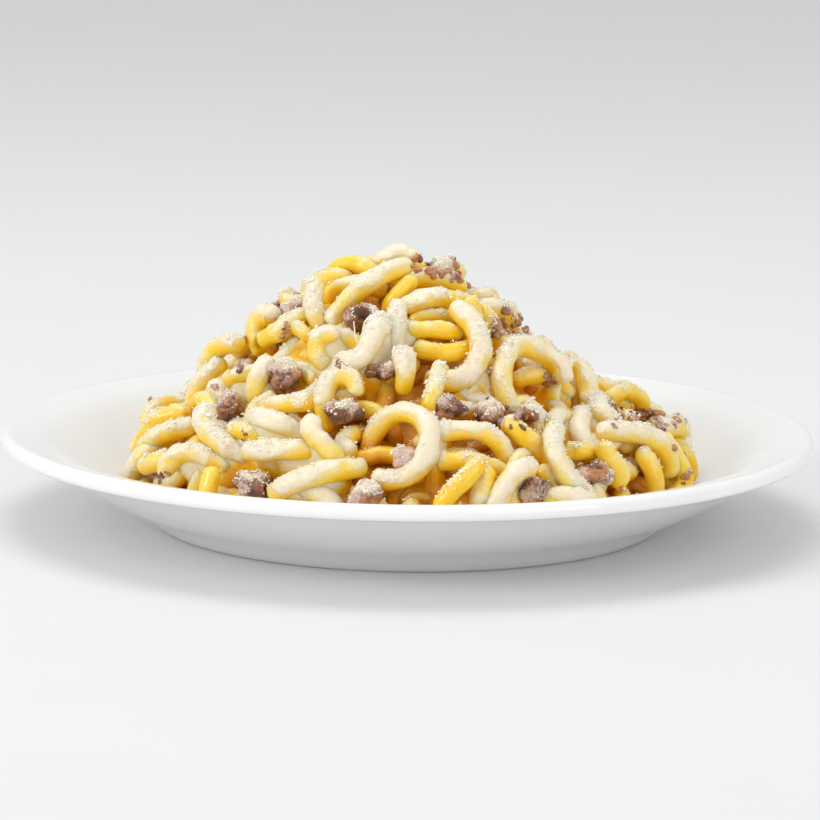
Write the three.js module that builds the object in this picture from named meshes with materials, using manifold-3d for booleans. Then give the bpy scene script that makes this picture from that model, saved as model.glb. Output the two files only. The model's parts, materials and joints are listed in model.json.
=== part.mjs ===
// A plate of pasta: short curled noodles with sausage in a cream sauce, heaped in a rimmed plate.
// Units are millimetres, +Z is up, and the origin is the centre of the plate's base.

import * as THREE from "three";
import { mergeVertices } from "three/addons/utils/BufferGeometryUtils.js";
import Module from "manifold-3d";

const wasm = await Module();
wasm.setup();

// Plate
const PLATE_RADIUS = 120;
const PLATE_HEIGHT = 28.2;
const LIP_HEIGHT = 4.9;
const RIM_WIDTH = 14;
const RIM_DROP = 3.2;
const WELL_RADIUS = 72;
const WELL_HEIGHT = 7.5;
const WALL = 5;
const FOOT_RADIUS = 74;
const FOOT_WIDTH = 5;
const FOOT_RECESS = 1.8;
const PLATE_SIDES = 40;

// Heap of noodles: the outline of its skin as [radius, height] pairs, from its edge to its peak
const HEAP_OUTLINE = [[79, 10], [79, 18], [72, 28], [56, 40], [43, 51], [32, 61], [17, 70], [0, 74]];
const HEAP_PEAK = HEAP_OUTLINE.at(-1)[1];
const LEAN_AT_BASE = 4;
const LEAN_AT_PEAK = -7;
const EDGE_RADIUS = HEAP_OUTLINE[0][0];
const CORE_DEPTH = 3;
const CORE_SIDES = 18;
const CORE_RINGS = 6;

// Noodles: each is part of a ring, with its sizes and turns in millimetres and degrees
const NOODLE_RADIUS = 4.3;
const NOODLE_SIDES = 5;
const NOODLE_STEP = 9;
const CURL_RADIUS = [7.5, 10];
const CURL_SWEEP = [190, 320];
const CURL_TILT = 30;
const CURL_TRIES = 150;
const CURL_CLEARANCE = 13;
const CURL_SPAN = [0.05, 0.97];
const FACE_AT_EDGE = 12;
const FACE_AT_PEAK = 90;
const GOLDEN_SHARE = (Math.sqrt(5) - 1) / 2;
const GOLDEN_ANGLE = 360 * (1 - GOLDEN_SHARE);

// The curls that make the shown side's outline: where each one's ring is centred, how far it
// stands proud of the skin, which way it faces, its radius, where it starts and how far it turns
const SHOWN_CURLS = [
  { azimuth: 0, height: 33, lift: 2, face: 0, rise: 26, radius: 9, start: -60, sweep: 320 },
  { azimuth: 42, height: 44, lift: 1, face: 34, rise: 32, radius: 12, start: 40, sweep: 265 },
  { azimuth: 13, height: 57, lift: 2, face: 10, rise: 26, radius: 10, start: -130, sweep: 250 },
  { azimuth: 14, height: 66, lift: 0, face: 12, rise: 34, radius: 9, start: 10, sweep: 170 },
  { azimuth: -72, height: 54, lift: -3, face: -45, rise: 30, radius: 8.5, start: 60, sweep: 250 },
  { azimuth: -30, height: 52, lift: 1, face: -20, rise: 35, radius: 20, start: 70, sweep: 80 },
  { azimuth: -50, height: 67, lift: -4, face: -20, rise: 24, radius: 7.5, start: 0, sweep: 170 },
  { azimuth: 10, height: 71, lift: -6, face: -8, rise: 14, radius: 7, start: -40, sweep: 230 },
  { azimuth: -26, height: 42, lift: 1, face: -14, rise: 32, radius: 8, start: 10, sweep: 230 },
  { azimuth: 52, height: 24, lift: 0, face: 34, rise: 30, radius: 13, start: 95, sweep: 150 },
  { azimuth: 24, height: 29, lift: 0, face: 18, rise: 40, radius: 9, start: -30, sweep: 200 },
  { azimuth: 74, height: 30, lift: -2, face: 55, rise: 35, radius: 9, start: -50, sweep: 170 },
  { azimuth: -72, height: 20, lift: -3, face: -55, rise: 25, radius: 12, start: 60, sweep: 120 },
  { azimuth: -42, height: 17, lift: -1, face: -34, rise: 35, radius: 15, start: 55, sweep: 75 },
];

// Sausage: [azimuth, height, width, height of the lump, depth] of each lump on the shown side
const SHOWN_LUMPS = [
  [-85, 63, 10, 6, 8],
  [-18, 64, 12, 8, 8],
  [60, 61, 12, 8, 9],
  [-4, 52, 12, 7, 8],
  [-45, 48, 12, 9, 9],
  [15, 43, 13, 9, 9],
  [28, 40, 9, 8, 8],
  [41, 40, 9, 6, 7],
  [-17, 41, 10, 7, 8],
  [-60, 38, 10, 9, 9],
  [0, 31, 7, 8, 7],
  [45, 25, 13, 8, 9],
  [27, 22, 10, 7, 8],
  [-10, 22, 9, 9, 8],
  [-35, 22, 14, 7, 9],
  [74, 36, 12, 5, 8],
  [-74, 19, 8, 6, 7],
];
const HIDDEN_LUMPS = 11;
const HIDDEN_AZIMUTHS = [102, 258];
const HIDDEN_HEIGHTS = [21, 68];
const LUMP_SIZE = [9, 13];
const LUMP_SHARES = [1, 0.75, 0.8];
const LUMP_ROUGHNESS = 0.16;
const LUMP_RISE = -1;
const LUMP_TURN = 20;
const PLATE_GAP = 0.3;
const POCKET_GAP = 0.4;

const rad = THREE.MathUtils.degToRad;

/** A number from 0 to 1 that looks random and is the same each time for one index and key. */
function pick(index, key) {
  const wave = Math.sin(index * 127.1 + key * 311.7) * 43758.5453;
  return wave - Math.floor(wave);
}

/** A picked number between the two ends of a range. */
function pickIn(range, index, key) {
  return THREE.MathUtils.lerp(range[0], range[1], pick(index, key));
}

/** The position-only copy of a geometry, with its shared corners merged. */
function welded(geometry) {
  const plain = geometry.clone();
  plain.deleteAttribute("normal");
  plain.deleteAttribute("uv");
  return mergeVertices(plain, 1e-4);
}

/** A manifold solid from a closed geometry. */
function solid(geometry) {
  const closed = welded(geometry);
  const vertProperties = new Float32Array(closed.attributes.position.array);
  const triVerts = new Uint32Array(closed.index.array);
  return new wasm.Manifold(new wasm.Mesh({ numProp: 3, vertProperties, triVerts }));
}

/** A geometry from a manifold solid, keeping only its largest connected body. */
function geometryOf(manifold) {
  const { vertProperties, triVerts, numProp } = manifold.getMesh();
  const root = Array.from({ length: vertProperties.length / numProp }, (_, i) => i);
  const find = (i) => {
    while (root[i] !== i) i = root[i] = root[root[i]];
    return i;
  };
  for (let i = 0; i < triVerts.length; i += 3) {
    root[find(triVerts[i])] = find(triVerts[i + 1]);
    root[find(triVerts[i + 1])] = find(triVerts[i + 2]);
  }
  const counts = new Map();
  for (const i of triVerts) counts.set(find(i), (counts.get(find(i)) ?? 0) + 1);
  const largest = [...counts].sort((a, b) => b[1] - a[1])[0][0];
  const kept = [...triVerts].filter((_, k) => find(triVerts[k - (k % 3)]) === largest);
  const geometry = new THREE.BufferGeometry();
  geometry.setAttribute("position", new THREE.BufferAttribute(vertProperties, 3));
  geometry.setIndex(kept);
  return mergeVertices(geometry.toNonIndexed(), 1e-4);
}

/** A body turned about the Z axis from a profile of [radius, height] points, axis to axis. */
function turned(profile, sides) {
  const points = profile.map(([radius, height]) => new THREE.Vector2(Math.max(radius, 0), height));
  return new THREE.LatheGeometry(points, sides).rotateX(Math.PI / 2);
}

/** Points of a smooth curve through a few [radius, height] pairs. */
function smooth(pairs, count) {
  const curve = new THREE.SplineCurve(pairs.map(([x, y]) => new THREE.Vector2(x, y)));
  return curve.getPoints(count).map((point) => [point.x, point.y]);
}

/** The eating surface of the plate, from the centre of the well to the top of the lip. */
function plateTop() {
  const rimInner = PLATE_RADIUS - RIM_WIDTH;
  const slope = smooth([
    [WELL_RADIUS * 0.75, WELL_HEIGHT],
    [WELL_RADIUS, WELL_HEIGHT + 0.6],
    [WELL_RADIUS + 10, WELL_HEIGHT + 3],
    [WELL_RADIUS + 20, WELL_HEIGHT + 8],
    [rimInner, PLATE_HEIGHT - RIM_DROP],
    [PLATE_RADIUS - LIP_HEIGHT / 2, PLATE_HEIGHT],
  ], 10);
  return [[0, WELL_HEIGHT], ...slope];
}

/** The plate: a well, a sloping wall, a nearly flat rim with a rounded lip, and a foot ring. */
function plateGeometry() {
  const lipRadius = LIP_HEIGHT / 2;
  const lip = [45, 0, -45].map((turn) => [
    PLATE_RADIUS - lipRadius + lipRadius * Math.cos(rad(turn)),
    PLATE_HEIGHT - lipRadius + lipRadius * Math.sin(rad(turn)),
  ]);
  const underside = smooth([
    [PLATE_RADIUS - LIP_HEIGHT, PLATE_HEIGHT - LIP_HEIGHT - 0.4],
    [PLATE_RADIUS - RIM_WIDTH + 1.7, PLATE_HEIGHT - RIM_DROP - WALL - 0.8],
    [WELL_RADIUS + 20, WELL_HEIGHT + 8 - WALL],
    [WELL_RADIUS + 10, WELL_HEIGHT + 3 - WALL],
    [FOOT_RADIUS, 0],
  ], 4);
  const footInner = FOOT_RADIUS - FOOT_WIDTH;
  const recess = [[footInner, 0], [footInner - FOOT_RECESS, FOOT_RECESS], [0, FOOT_RECESS]];
  return turned([...plateTop(), ...lip, ...underside, ...recess].reverse(), PLATE_SIDES);
}

/** The space above the plate, a gap clear of it, in which the food lies. */
function wellSpace() {
  const roof = 2 * HEAP_PEAK;
  const floor = plateTop().map(([radius, height]) => [radius, height + PLATE_GAP]);
  return turned([...floor, [PLATE_RADIUS, roof], [0, roof]], PLATE_SIDES);
}

const heapOutline = new THREE.SplineCurve(HEAP_OUTLINE.map(([x, y]) => new THREE.Vector2(x, y)));

/** How far the heap's centre stands to the side at a height. */
function lean(height) {
  return THREE.MathUtils.lerp(LEAN_AT_BASE, LEAN_AT_PEAK, height / HEAP_PEAK);
}

/** The radius of the heap's skin at a height, by halving along its outline. */
function skinRadius(height) {
  let low = 0;
  let high = 1;
  for (let halving = 0; halving < 30; halving += 1) {
    const middle = (low + high) / 2;
    if (heapOutline.getPoint(middle).y < height) low = middle;
    else high = middle;
  }
  return heapOutline.getPoint(low).x;
}

/** A unit vector at an azimuth, seen from the front, and a rise above the level. */
function heading(azimuth, rise) {
  const level = Math.cos(rad(rise));
  return new THREE.Vector3(
    level * Math.sin(rad(azimuth)),
    -level * Math.cos(rad(azimuth)),
    Math.sin(rad(rise)),
  );
}

/** A point of the heap's skin, pushed out along the level by a lift. */
function skinPoint(azimuth, height, lift) {
  const point = heading(azimuth, 0).multiplyScalar(skinRadius(height) + lift);
  return point.add(new THREE.Vector3(lean(height), 0, height));
}

/** A noodle's centre line: part of a ring about a centre, in a plane that faces a direction. */
class Curl extends THREE.Curve {
  constructor(centre, face, radius, start, sweep) {
    super();
    this.centre = centre;
    this.right = new THREE.Vector3(0, 0, 1).cross(face).normalize();
    this.up = face.clone().cross(this.right).normalize();
    this.radius = radius;
    this.start = rad(start);
    this.sweep = rad(sweep);
  }

  getPoint(t, target = new THREE.Vector3()) {
    const turn = this.start + this.sweep * t;
    return target.copy(this.centre)
      .addScaledVector(this.right, this.radius * Math.cos(turn))
      .addScaledVector(this.up, this.radius * Math.sin(turn));
  }

  /** The distance from a place to the nearest of a few points along the curl. */
  distanceTo(place) {
    return Math.min(...this.getPoints(8).map((point) => point.distanceTo(place)));
  }
}

/** The noodle along a curl, as a closed tube with flat ends. */
function noodle(curl) {
  const section = new THREE.Shape();
  for (let corner = 0; corner < NOODLE_SIDES; corner += 1) {
    const turn = (corner / NOODLE_SIDES) * 2 * Math.PI;
    const [x, y] = [NOODLE_RADIUS * Math.cos(turn), NOODLE_RADIUS * Math.sin(turn)];
    if (corner === 0) section.moveTo(x, y);
    else section.lineTo(x, y);
  }
  section.closePath();
  const steps = Math.ceil((curl.radius * curl.sweep) / NOODLE_STEP);
  return new THREE.ExtrudeGeometry(section, { steps, bevelEnabled: false, extrudePath: curl });
}

/** The curls of the shown side. */
function shownCurls() {
  return SHOWN_CURLS.map((curl) => new Curl(
    skinPoint(curl.azimuth, curl.height, curl.lift),
    heading(curl.face, curl.rise),
    curl.radius,
    curl.start,
    curl.sweep,
  ));
}

/** Curls all over the heap, spread evenly along a spiral, where no shown curl lies. */
function spreadCurls(taken) {
  const curls = [];
  for (let index = 0; index < CURL_TRIES; index += 1) {
    const climb = 1 - Math.sqrt(1 - (index + 0.5) / CURL_TRIES);
    const at = heapOutline.getPointAt(THREE.MathUtils.lerp(...CURL_SPAN, climb));
    const azimuth = index * GOLDEN_ANGLE;
    const rise = THREE.MathUtils.lerp(FACE_AT_PEAK, FACE_AT_EDGE, at.x / EDGE_RADIUS);
    const face = heading(azimuth, rise + CURL_TILT * (pick(index, 1) - 0.5));
    const centre = heading(azimuth, 0).multiplyScalar(at.x);
    centre.add(new THREE.Vector3(lean(at.y), 0, at.y));
    if ([...taken, ...curls].some((curl) => curl.distanceTo(centre) < CURL_CLEARANCE)) continue;
    const radius = pickIn(CURL_RADIUS, index, 2);
    curls.push(new Curl(centre, face, radius, 360 * pick(index, 3), pickIn(CURL_SWEEP, index, 4)));
  }
  return curls;
}

/** The smooth body of noodles inside the outermost ones. */
function core() {
  const rings = Array.from({ length: CORE_RINGS + 1 }, (_, ring) => ring / CORE_RINGS);
  const skin = rings.map((t) => heapOutline.getPoint(t)).map((point) => [
    point.x - CORE_DEPTH * (point.x / EDGE_RADIUS),
    point.y - CORE_DEPTH * (1 - point.x / EDGE_RADIUS),
  ]);
  skin[CORE_RINGS][0] = 0;
  const geometry = turned([[0, 0], [EDGE_RADIUS, 0], ...skin], CORE_SIDES);
  const position = geometry.attributes.position;
  for (let i = 0; i < position.count; i += 1) {
    position.setX(i, position.getX(i) + lean(position.getZ(i)));
  }
  return geometry;
}

/** Where each lump of sausage lies and how large it is: the shown ones, then the hidden ones. */
function lumps() {
  const shown = SHOWN_LUMPS.map(([azimuth, height, ...size]) => ({ azimuth, height, size }));
  const hidden = Array.from({ length: HIDDEN_LUMPS }, (_, index) => ({
    azimuth: THREE.MathUtils.lerp(...HIDDEN_AZIMUTHS, (index * GOLDEN_SHARE) % 1),
    height: THREE.MathUtils.lerp(...HIDDEN_HEIGHTS, (index + 0.5) / HIDDEN_LUMPS),
    size: LUMP_SHARES.map((share) => share * pickIn(LUMP_SIZE, index, 5)),
  }));
  return [...shown, ...hidden];
}

/** One lump of sausage: a ball with dents and knobs, wider than tall, a margin larger. */
function lumpGeometry({ azimuth, height, size }, index, margin) {
  const geometry = welded(new THREE.SphereGeometry(1, 7, 5));
  const position = geometry.attributes.position;
  const corner = new THREE.Vector3();
  for (let i = 0; i < position.count; i += 1) {
    corner.fromBufferAttribute(position, i);
    const swell = 1 + LUMP_ROUGHNESS * (2 * pick(i, index + 7) - 1);
    corner.x *= (size[0] / 2) * swell + margin;
    corner.y *= (size[2] / 2) * swell + margin;
    corner.z *= (size[1] / 2) * swell + margin;
    position.setXYZ(i, corner.x, corner.y, corner.z);
  }
  const centre = skinPoint(azimuth, height, LUMP_RISE);
  geometry.rotateX(rad(LUMP_TURN * (pick(index, 8) - 0.5)));
  return geometry.rotateZ(rad(azimuth)).translate(centre.x, centre.y, centre.z);
}

const glaze = new THREE.MeshStandardMaterial({ color: 0xf4f3f0, roughness: 0.12, metalness: 0 });
const pasta = new THREE.MeshStandardMaterial({ color: 0xeccf85, roughness: 0.45, metalness: 0 });
const sausage = new THREE.MeshStandardMaterial({ color: 0x8f6350, roughness: 0.6, metalness: 0 });

const dish = new THREE.Group();

/** Adds a named piece to the dish. */
function addPiece(name, geometry, material) {
  const piece = new THREE.Mesh(geometry, material);
  piece.name = name;
  dish.add(piece);
}

addPiece("plate", plateGeometry(), glaze);

const shown = shownCurls();
let heap = solid(core());
for (const curl of [...shown, ...spreadCurls(shown)]) heap = heap.add(solid(noodle(curl)));
heap = heap.intersect(solid(wellSpace()));

lumps().forEach((lump, index) => {
  const number = String(index + 1).padStart(2, "0");
  const pocket = solid(lumpGeometry(lump, index, POCKET_GAP));
  heap = heap.subtract(pocket);
  addPiece(`sausage_${number}`, lumpGeometry(lump, index, 0), sausage);
});

addPiece("pasta_heap", geometryOf(heap), pasta);

export default dish;
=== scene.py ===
import json
import math

import bpy
import numpy as np
from bpy.props import FloatProperty, FloatVectorProperty, IntProperty, PointerProperty
from mathutils import Color, Matrix, Vector
from mathutils.bvhtree import BVHTree

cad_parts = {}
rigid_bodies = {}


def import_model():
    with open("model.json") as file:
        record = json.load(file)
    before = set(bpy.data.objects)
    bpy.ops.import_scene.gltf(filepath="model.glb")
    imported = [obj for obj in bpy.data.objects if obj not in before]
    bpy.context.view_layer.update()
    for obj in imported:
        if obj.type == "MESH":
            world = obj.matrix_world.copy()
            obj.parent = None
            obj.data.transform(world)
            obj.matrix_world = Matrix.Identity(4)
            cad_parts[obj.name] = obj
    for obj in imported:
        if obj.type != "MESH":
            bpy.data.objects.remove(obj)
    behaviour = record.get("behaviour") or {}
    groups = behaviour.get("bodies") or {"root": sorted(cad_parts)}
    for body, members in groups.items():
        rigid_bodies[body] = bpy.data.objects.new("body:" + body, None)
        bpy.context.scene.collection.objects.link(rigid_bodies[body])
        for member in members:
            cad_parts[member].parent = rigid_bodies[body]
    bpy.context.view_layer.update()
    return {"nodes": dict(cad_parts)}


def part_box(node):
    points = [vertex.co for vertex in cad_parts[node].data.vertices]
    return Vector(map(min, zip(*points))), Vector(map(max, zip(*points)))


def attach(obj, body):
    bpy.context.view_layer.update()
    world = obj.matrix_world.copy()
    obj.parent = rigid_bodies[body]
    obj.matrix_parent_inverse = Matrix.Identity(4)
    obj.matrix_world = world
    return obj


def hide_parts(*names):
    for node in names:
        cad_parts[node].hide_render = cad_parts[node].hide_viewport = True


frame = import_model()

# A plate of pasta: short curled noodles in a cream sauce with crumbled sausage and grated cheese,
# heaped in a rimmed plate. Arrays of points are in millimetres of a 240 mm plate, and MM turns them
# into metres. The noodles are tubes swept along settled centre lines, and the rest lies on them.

bl_info = {
    "name": "Plate of Pasta",
    "version": (1, 0, 0),
    "blender": (4, 5, 0),
    "location": "View3D > Sidebar > Pasta",
    "description": "Builds a plate of curled noodles with sausage, cream sauce and grated cheese",
    "category": "Add Mesh",
}

PLATE_LOW, PLATE_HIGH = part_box("plate")
PLATE_WIDTH = 240
MM = (PLATE_HIGH.x - PLATE_LOW.x) / PLATE_WIDTH
LUMP_NODES = sorted(name for name in frame["nodes"] if name.startswith("sausage_"))

# The heap's skin, on which the outer noodles are centred: [radius, height], edge to peak. Its axis
# leans. A centre line has NOODLE_POINTS points, the listed noodles face SHOWN_RISE degrees above the
# level, and VIEWPOINT is where the camera stands
SKIN_OUTLINE = [[79, 10], [79, 18], [72, 28], [56, 40], [43, 51], [32, 61], [17, 70], [0, 74]]
LEAN_AT_BASE = 4
LEAN_AT_PEAK = -7
PEAK = 74
NOODLE_POINTS = 15
SHOWN_RISE = 15.0
VIEWPOINT = np.array([0, -1179, 243])

# The plate, as [radius, height]: the knots of its eating surface and of its underside, and the points
# of its foot ring and the recess inside it. The lip is round, under the eating surface's last knot.
# The eating surface has GLAZE_RINGS rings of points, and the underside half as many
PLATE_TOP = [[54, 7.5], [72, 8.1], [82, 10.5], [92, 15.5], [106, 25], [117.6, 28.2]]
PLATE_UNDER = [[115.1, 22.9], [107.7, 19.2], [92, 10.5], [82, 5.5], [75, 0.7]]
PLATE_FOOT = [[74.2, 0.2], [73.4, 0.0], [70.2, 0.0], [69.3, 0.2], [68.6, 0.8], [67.4, 1.6], [66, 1.8],
              [50, 1.8], [25, 1.8], [0, 1.8]]
LIP_RADIUS = 2.4
GLAZE_RINGS = 60

# The layers of noodles: how deep each lies inside the skin, and how much deeper in front. The packed
# noodles start below them, and the cream between the noodles sinks to FILM_DEPTH where it is thin.
# The pool of sauce reaches from its inner radius to its outer one
OUTER_LAYER = (0.5, 4.2)
INNER_LAYER = (8.0, 2.5)
PACKED_DEPTH = 9.5
FILM_DEPTH = 9.5
POOL_REACH = (52, 78)

# How fine the forms are: the rings along each noodle and the sides round it, and the same for the
# lumps and crumbs from pole to pole, the cream between the noodles, the pool, the cheese threads and
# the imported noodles, which have only sides
NOODLE_GRIDS = {"noodles_shown": (58, 24), "noodles_outer": (36, 14), "noodles_inner": (26, 10)}
LUMP_GRID = (30, 44)
CRUMB_GRID = (10, 14)
FILM_GRID = (84, 300)
POOL_GRID = (16, 240)
THREAD_GRID = (24, 10)
PACKED_SIDES = 72

# How the noodles settle: the number of rounds, how far the listed ones give way, and how much of
# their thickness is left where they press on each other
SETTLING_ROUNDS = 72
SHOWN_GIVE = 0.07
SQUEEZE = 0.97

# The small grains of mince on a lump and on a crumb, the crumbs that gather about each listed
# row, and the grains of cheese that lie away from any clump
LUMP_GRAINS = 70
CRUMB_GRAINS = 16
CRUMBS_TOGETHER = 6
LOOSE_GRAINS = 1300

# Fixed colours: the glaze's faint clouds, gathered cheese, and painted shade on meat deep in its hollows
GLAZE_CLOUD = (0.86, 0.86, 0.85, 1)
CHEESE_WHITE = (0.91, 0.85, 0.68, 1)
MEAT_SHADE = (0.09, 0.035, 0.02, 1)

# The camera: the height it aims at, how far its picture is shifted, and its turn in degrees
CAMERA_AIM = 20
CAMERA_SHIFT = (0.003, 0.0524)
CAMERA_TURN = 0.75

# The noodles of the shown side. For each: where its middle lies across and up, how far
# it stands off the skin, the way its plane faces, its heading at the middle, its length, how far it
# bends before and after the middle, how deep each end dips, and how much more sauce it has than most
SHOWN_NOODLES = [
    # the ring in the middle, the arch and sticks beside it, and the bars above
    (3.5, 41, 5, -38, 0, 69, -160, -198, 0, -9, 0.3),
    (14.5, 25, 4, 5, 45, 19, 0, 6, 3, 0, -0.4),
    (18, 37, 4, 11, -8, 34, -40, -85, 5, 5, 0.2),
    (9, 46, 3, 7, 90, 18, 10, 10, 4, 3, -0.4),
    (19, 54, 4, 16, -108, 38, -70, -118, 5, 3, 0.25),
    (5, 61.5, 3, 11, -4, 20, -6, -6, 4, 4, -0.35),
    (11, 56, 0, 13, 2, 19, 28, 28, 3, 3, -0.45),
    (8, 68, 4, 20, -2, 24, -30, -42, 3, 4, 0.05),
    (8, 72, 2, 20, -12, 18, -16, -14, 3, 4, -0.1),
    (18, 30, 0, 9, -10, 20, -10, -10, 3, 3, -0.4),
    # the peak
    (-5, 79, 1, 0, 34, 16, -5, -95, 3, 0, 0.3),
    (-12, 71, 5, -16, 40, 30, -30, -15, 0, 6, 0.3),
    (-17, 76, 0, -20, 5, 19, -55, -30, 3, 3, -0.4),
    (-25, 71, 1, -30, 30, 16, -35, -30, 3, 4, 0.0),
    (-17, 71, 0, -20, 12, 20, -30, -30, 3, 3, -0.2),
    (-9, 75, -2, 0, -5, 18, -20, -20, 3, 3, -0.3),
    (-27, 65, 2, -30, 100, 17, -8, -8, 4, 3, 0.1),
    (-3, 70, 1, 0, 62, 14, 10, 10, 3, 3, -0.45),
    (9, 65, -1, 20, -4, 17, -25, -25, 3, 3, -0.5),
    (0, 74, -1.5, 0, 20, 12, -10, -10, 3, 3, -0.4),
    # the left shoulder
    (-43, 56, 4, -35, -95, 21, 130, 110, -1, 3, 0.3),
    (-34, 60, -1, -35, -3, 14, 0, 0, 3, 3, -0.4),
    (-22, 47, 4, -14, 68, 26, -50, -173, 5, 0, 0.1),
    (-25, 57, 4, -20, 80, 15, -70, -130, 3, 0, -0.1),
    (-1, 51.5, 4, 0, -84, 12, 0, -30, 4, 4, 0.1),
    (-4, 61, 2, 0, -95, 18, 5, 8, 4, 4, 0.25),
    (-17, 59, -1, -13, -20, 15, -30, -30, 3, 3, -0.4),
    (-11, 56, 5, -15, -120, 22, -28, -75, 6, 3, 0.4),
    (-56, 48, 1, -54, 44, 22, -22, -22, 4, 4, -0.1),
    (-47, 46, 2, -37, 15, 15, 0, 0, 3, 4, -0.3),
    (-42, 46, 2, -33, 80, 14, 10, 10, 4, 3, 0.3),
    (-61, 39, 1, -49, 76, 22, -22, -18, 4, 3, 0.15),
    # the left foot
    (-54, 31, 4, -30, -38, 24, 50, 45, 3, 5, 0.4),
    (-72, 28, 3, -50, 46, 24, -22, -38, 0, 4, -0.1),
    (-69, 28, 3, -40, 30, 19, -5, -8, 2, 4, 0.2),
    (-70, 22, 2, -40, 14, 18, -8, -8, 2, 3, -0.3),
    (-60, 27, 4, -32, 8, 25, -70, -42, 2, 4, 0.1),
    (-55, 20, 2, -28, 84, 10, 0, 12, 2, 0, 0.1),
    (-33, 42, 2, -20, 8, 19, -8, -8, 4, 4, -0.35),
    (-36.5, 37, 4.5, -18, -6, 15, 20, -45, 4, 5, 0.4),
    (-24, 33.5, 4.5, -11, -35, 17, 75, -35, 3, 5, 0.3),
    (-35, 31, 4, -18, 7, 22, 4, 4, 2, 4, 0.15),
    (-44, 34, 2, -24, -5, 14, 0, 0, 3, 3, -0.4),
    (-26, 26, 2.5, -12, 17, 28, -22, -12, 5, 9, 0.1),
    # the right shoulder and foot
    (25.5, 51, 5, 25, -108, 64, 172, 118, 3, 5, 0.25),
    (40, 47, 0, 35, -15, 22, -40, -50, 3, 3, -0.2),
    (39, 53, -2, 35, 0, 14, -60, -60, 3, 3, -0.4),
    (52, 40, 3, 40, -84, 21, 5, 8, 4, 4, 0.3),
    (41, 27, 6, 22, -66, 30, 88, 50, 6, 4, 0.35),
    (43, 23, -1, 20, -50, 15, 0, 0, 3, 3, -0.4),
    (65, 29.5, 6, 43, -22, 33, -20, -58, 4, 3, 0.35),
    (57, 26, 2, 31, -58, 15, 0, -6, 0, 2, 0.0),
    (70, 22, 1, 38, -78, 14, 0, 0, 3, 2, 0.0),
    (74, 28, 5, 54, 5, 19, 25, -45, 3, 0, 0.2),
    (76, 22, 3, 47, -80, 15, 8, -8, 3, 2, -0.4),
    (81, 19, 2, 54, -75, 14, 8, -8, 3, 2, -0.2),
    (65, 39, 2, 54, -25, 24, -60, -62, 3, 3, -0.3),
    (60, 37, 3, 47, -48, 15, 0, 0, 4, 4, 0.25),
    (26, 63, 1, 54, -22, 22, -38, -15, 3, 4, 0.1),
    (18, 63, 3, 40, 84, 12, 0, 0, 4, 0, 0.2),
    (23, 60, 0, 33, -60, 16, 0, 0, 3, 3, -0.4),
    (27, 25, 4, 12, 55, 21, -25, -62, 3, 4, 0.3),
    (44, 21, 3, 20, 0, 14, -15, -15, 3, 3, 0.1),
    (21, 24, 1, 10, 75, 13, 0, 0, 3, 2, 0.0),
    (33, 34, 2, 19, -50, 17, 0, 0, 4, 4, -0.2),
    (50.5, 30, 1, 26, -5, 9, 0, 0, 3, 3, -0.3),
]

# Threads of cheese under the upper lump of sausage: where the middle of each lies across and up, how
# far it stands off the skin, its heading, its length and its radius
SHOWN_THREADS = [
    (-14, 61, 6, -78, 8, 0.22), (-12, 61, 6, -94, 9, 0.28), (-9, 61, 6, -104, 8, 0.22),
    (-8, 60, 6, -84, 9, 0.2),
]

# Patches of the shown side where the sauce is thick, and bare ones with less than 0: where each lies
# across and up, how wide it is, and how much it adds
SHOWN_PATCHES = [
    (-36, 36, 8, 1.1), (-24, 34, 7, 0.9), (-31, 53, 9, 1.1), (-14, 55, 7, 0.9), (-57, 26, 8, 0.7),
    (12, 66, 6, 0.7), (17, 50, 5, -1.0), (-60, 40, 8, 0.9), (58, 32, 8, 0.7), (30, 26, 7, 0.6),
    (-42, 49, 9, 1.4), (0, 61, 5, 1.2), (-9, 53, 7, 0.9), (-26, 25, 9, 0.7), (-50, 42, 7, 1.0),
    (0, 40, 9, -1.3), (35, 45, 8, -1.3), (20, 30, 8, -1.2), (8, 58, 7, -1.2), (-14, 66, 8, -1.0),
    (-44, 20, 8, -0.8), (48, 24, 8, -1.0), (70, 22, 8, -0.9), (-5, 27, 12, -0.9),
]

# Gathered cheese on the shown side: where each heap lies across and up, and how much there is
SHOWN_CHEESE = [
    (-27, 39, 5), (-23, 36, 6), (-19, 52, 3), (-44, 37, 3), (-12, 55, 4), (-32, 68, 3), (9, 76, 6),
    (9, 65, 3), (18, 64, 4), (31, 60, 7), (29, 48, 4), (35, 37, 3), (46, 34, 4), (56, 45, 3),
    (62, 36, 3), (19, 27, 4), (82, 27, 3), (-11, 28, 5), (-57, 25, 3), (-38, 52, 3), (22, 57, 4),
    (40, 32, 3), (-66, 31, 3), (4, 45, 3),
]

# Small crumbs of sausage on the shown side: where each lies across and up, seen from the front, and
# its length
SHOWN_CRUMBS = [
    (3, 76, 6), (10, 75, 7), (14, 74, 7), (-37, 55, 5), (42, 43, 5), (63, 32, 7), (67, 33, 8),
    (71, 32, 7), (75, 31, 6), (26, 34, 6), (29, 31, 7), (33, 29, 5), (-49, 24, 3), (64, 10, 3),
    (83, 14, 5), (-73, 12, 5), (-20, 47, 4), (37, 12, 5), (80, 30, 5),
    (27, 59.5, 9), (30, 58.5, 9), (33, 57, 9), (31, 60, 8), (6, 75.5, 8), (12, 74.5, 8),
]


# ---- shared mathematics ----


def unit(vectors):
    """Vectors scaled to length one."""
    return vectors / np.maximum(np.linalg.norm(vectors, axis=-1, keepdims=True), 1e-9)


def ease(values, low, high):
    """A smooth step from 0 at low to 1 at high: t * t * (3 - 2t)."""
    t = np.clip((values - low) / (high - low), 0, 1)
    return t * t * (3 - 2 * t)


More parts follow.
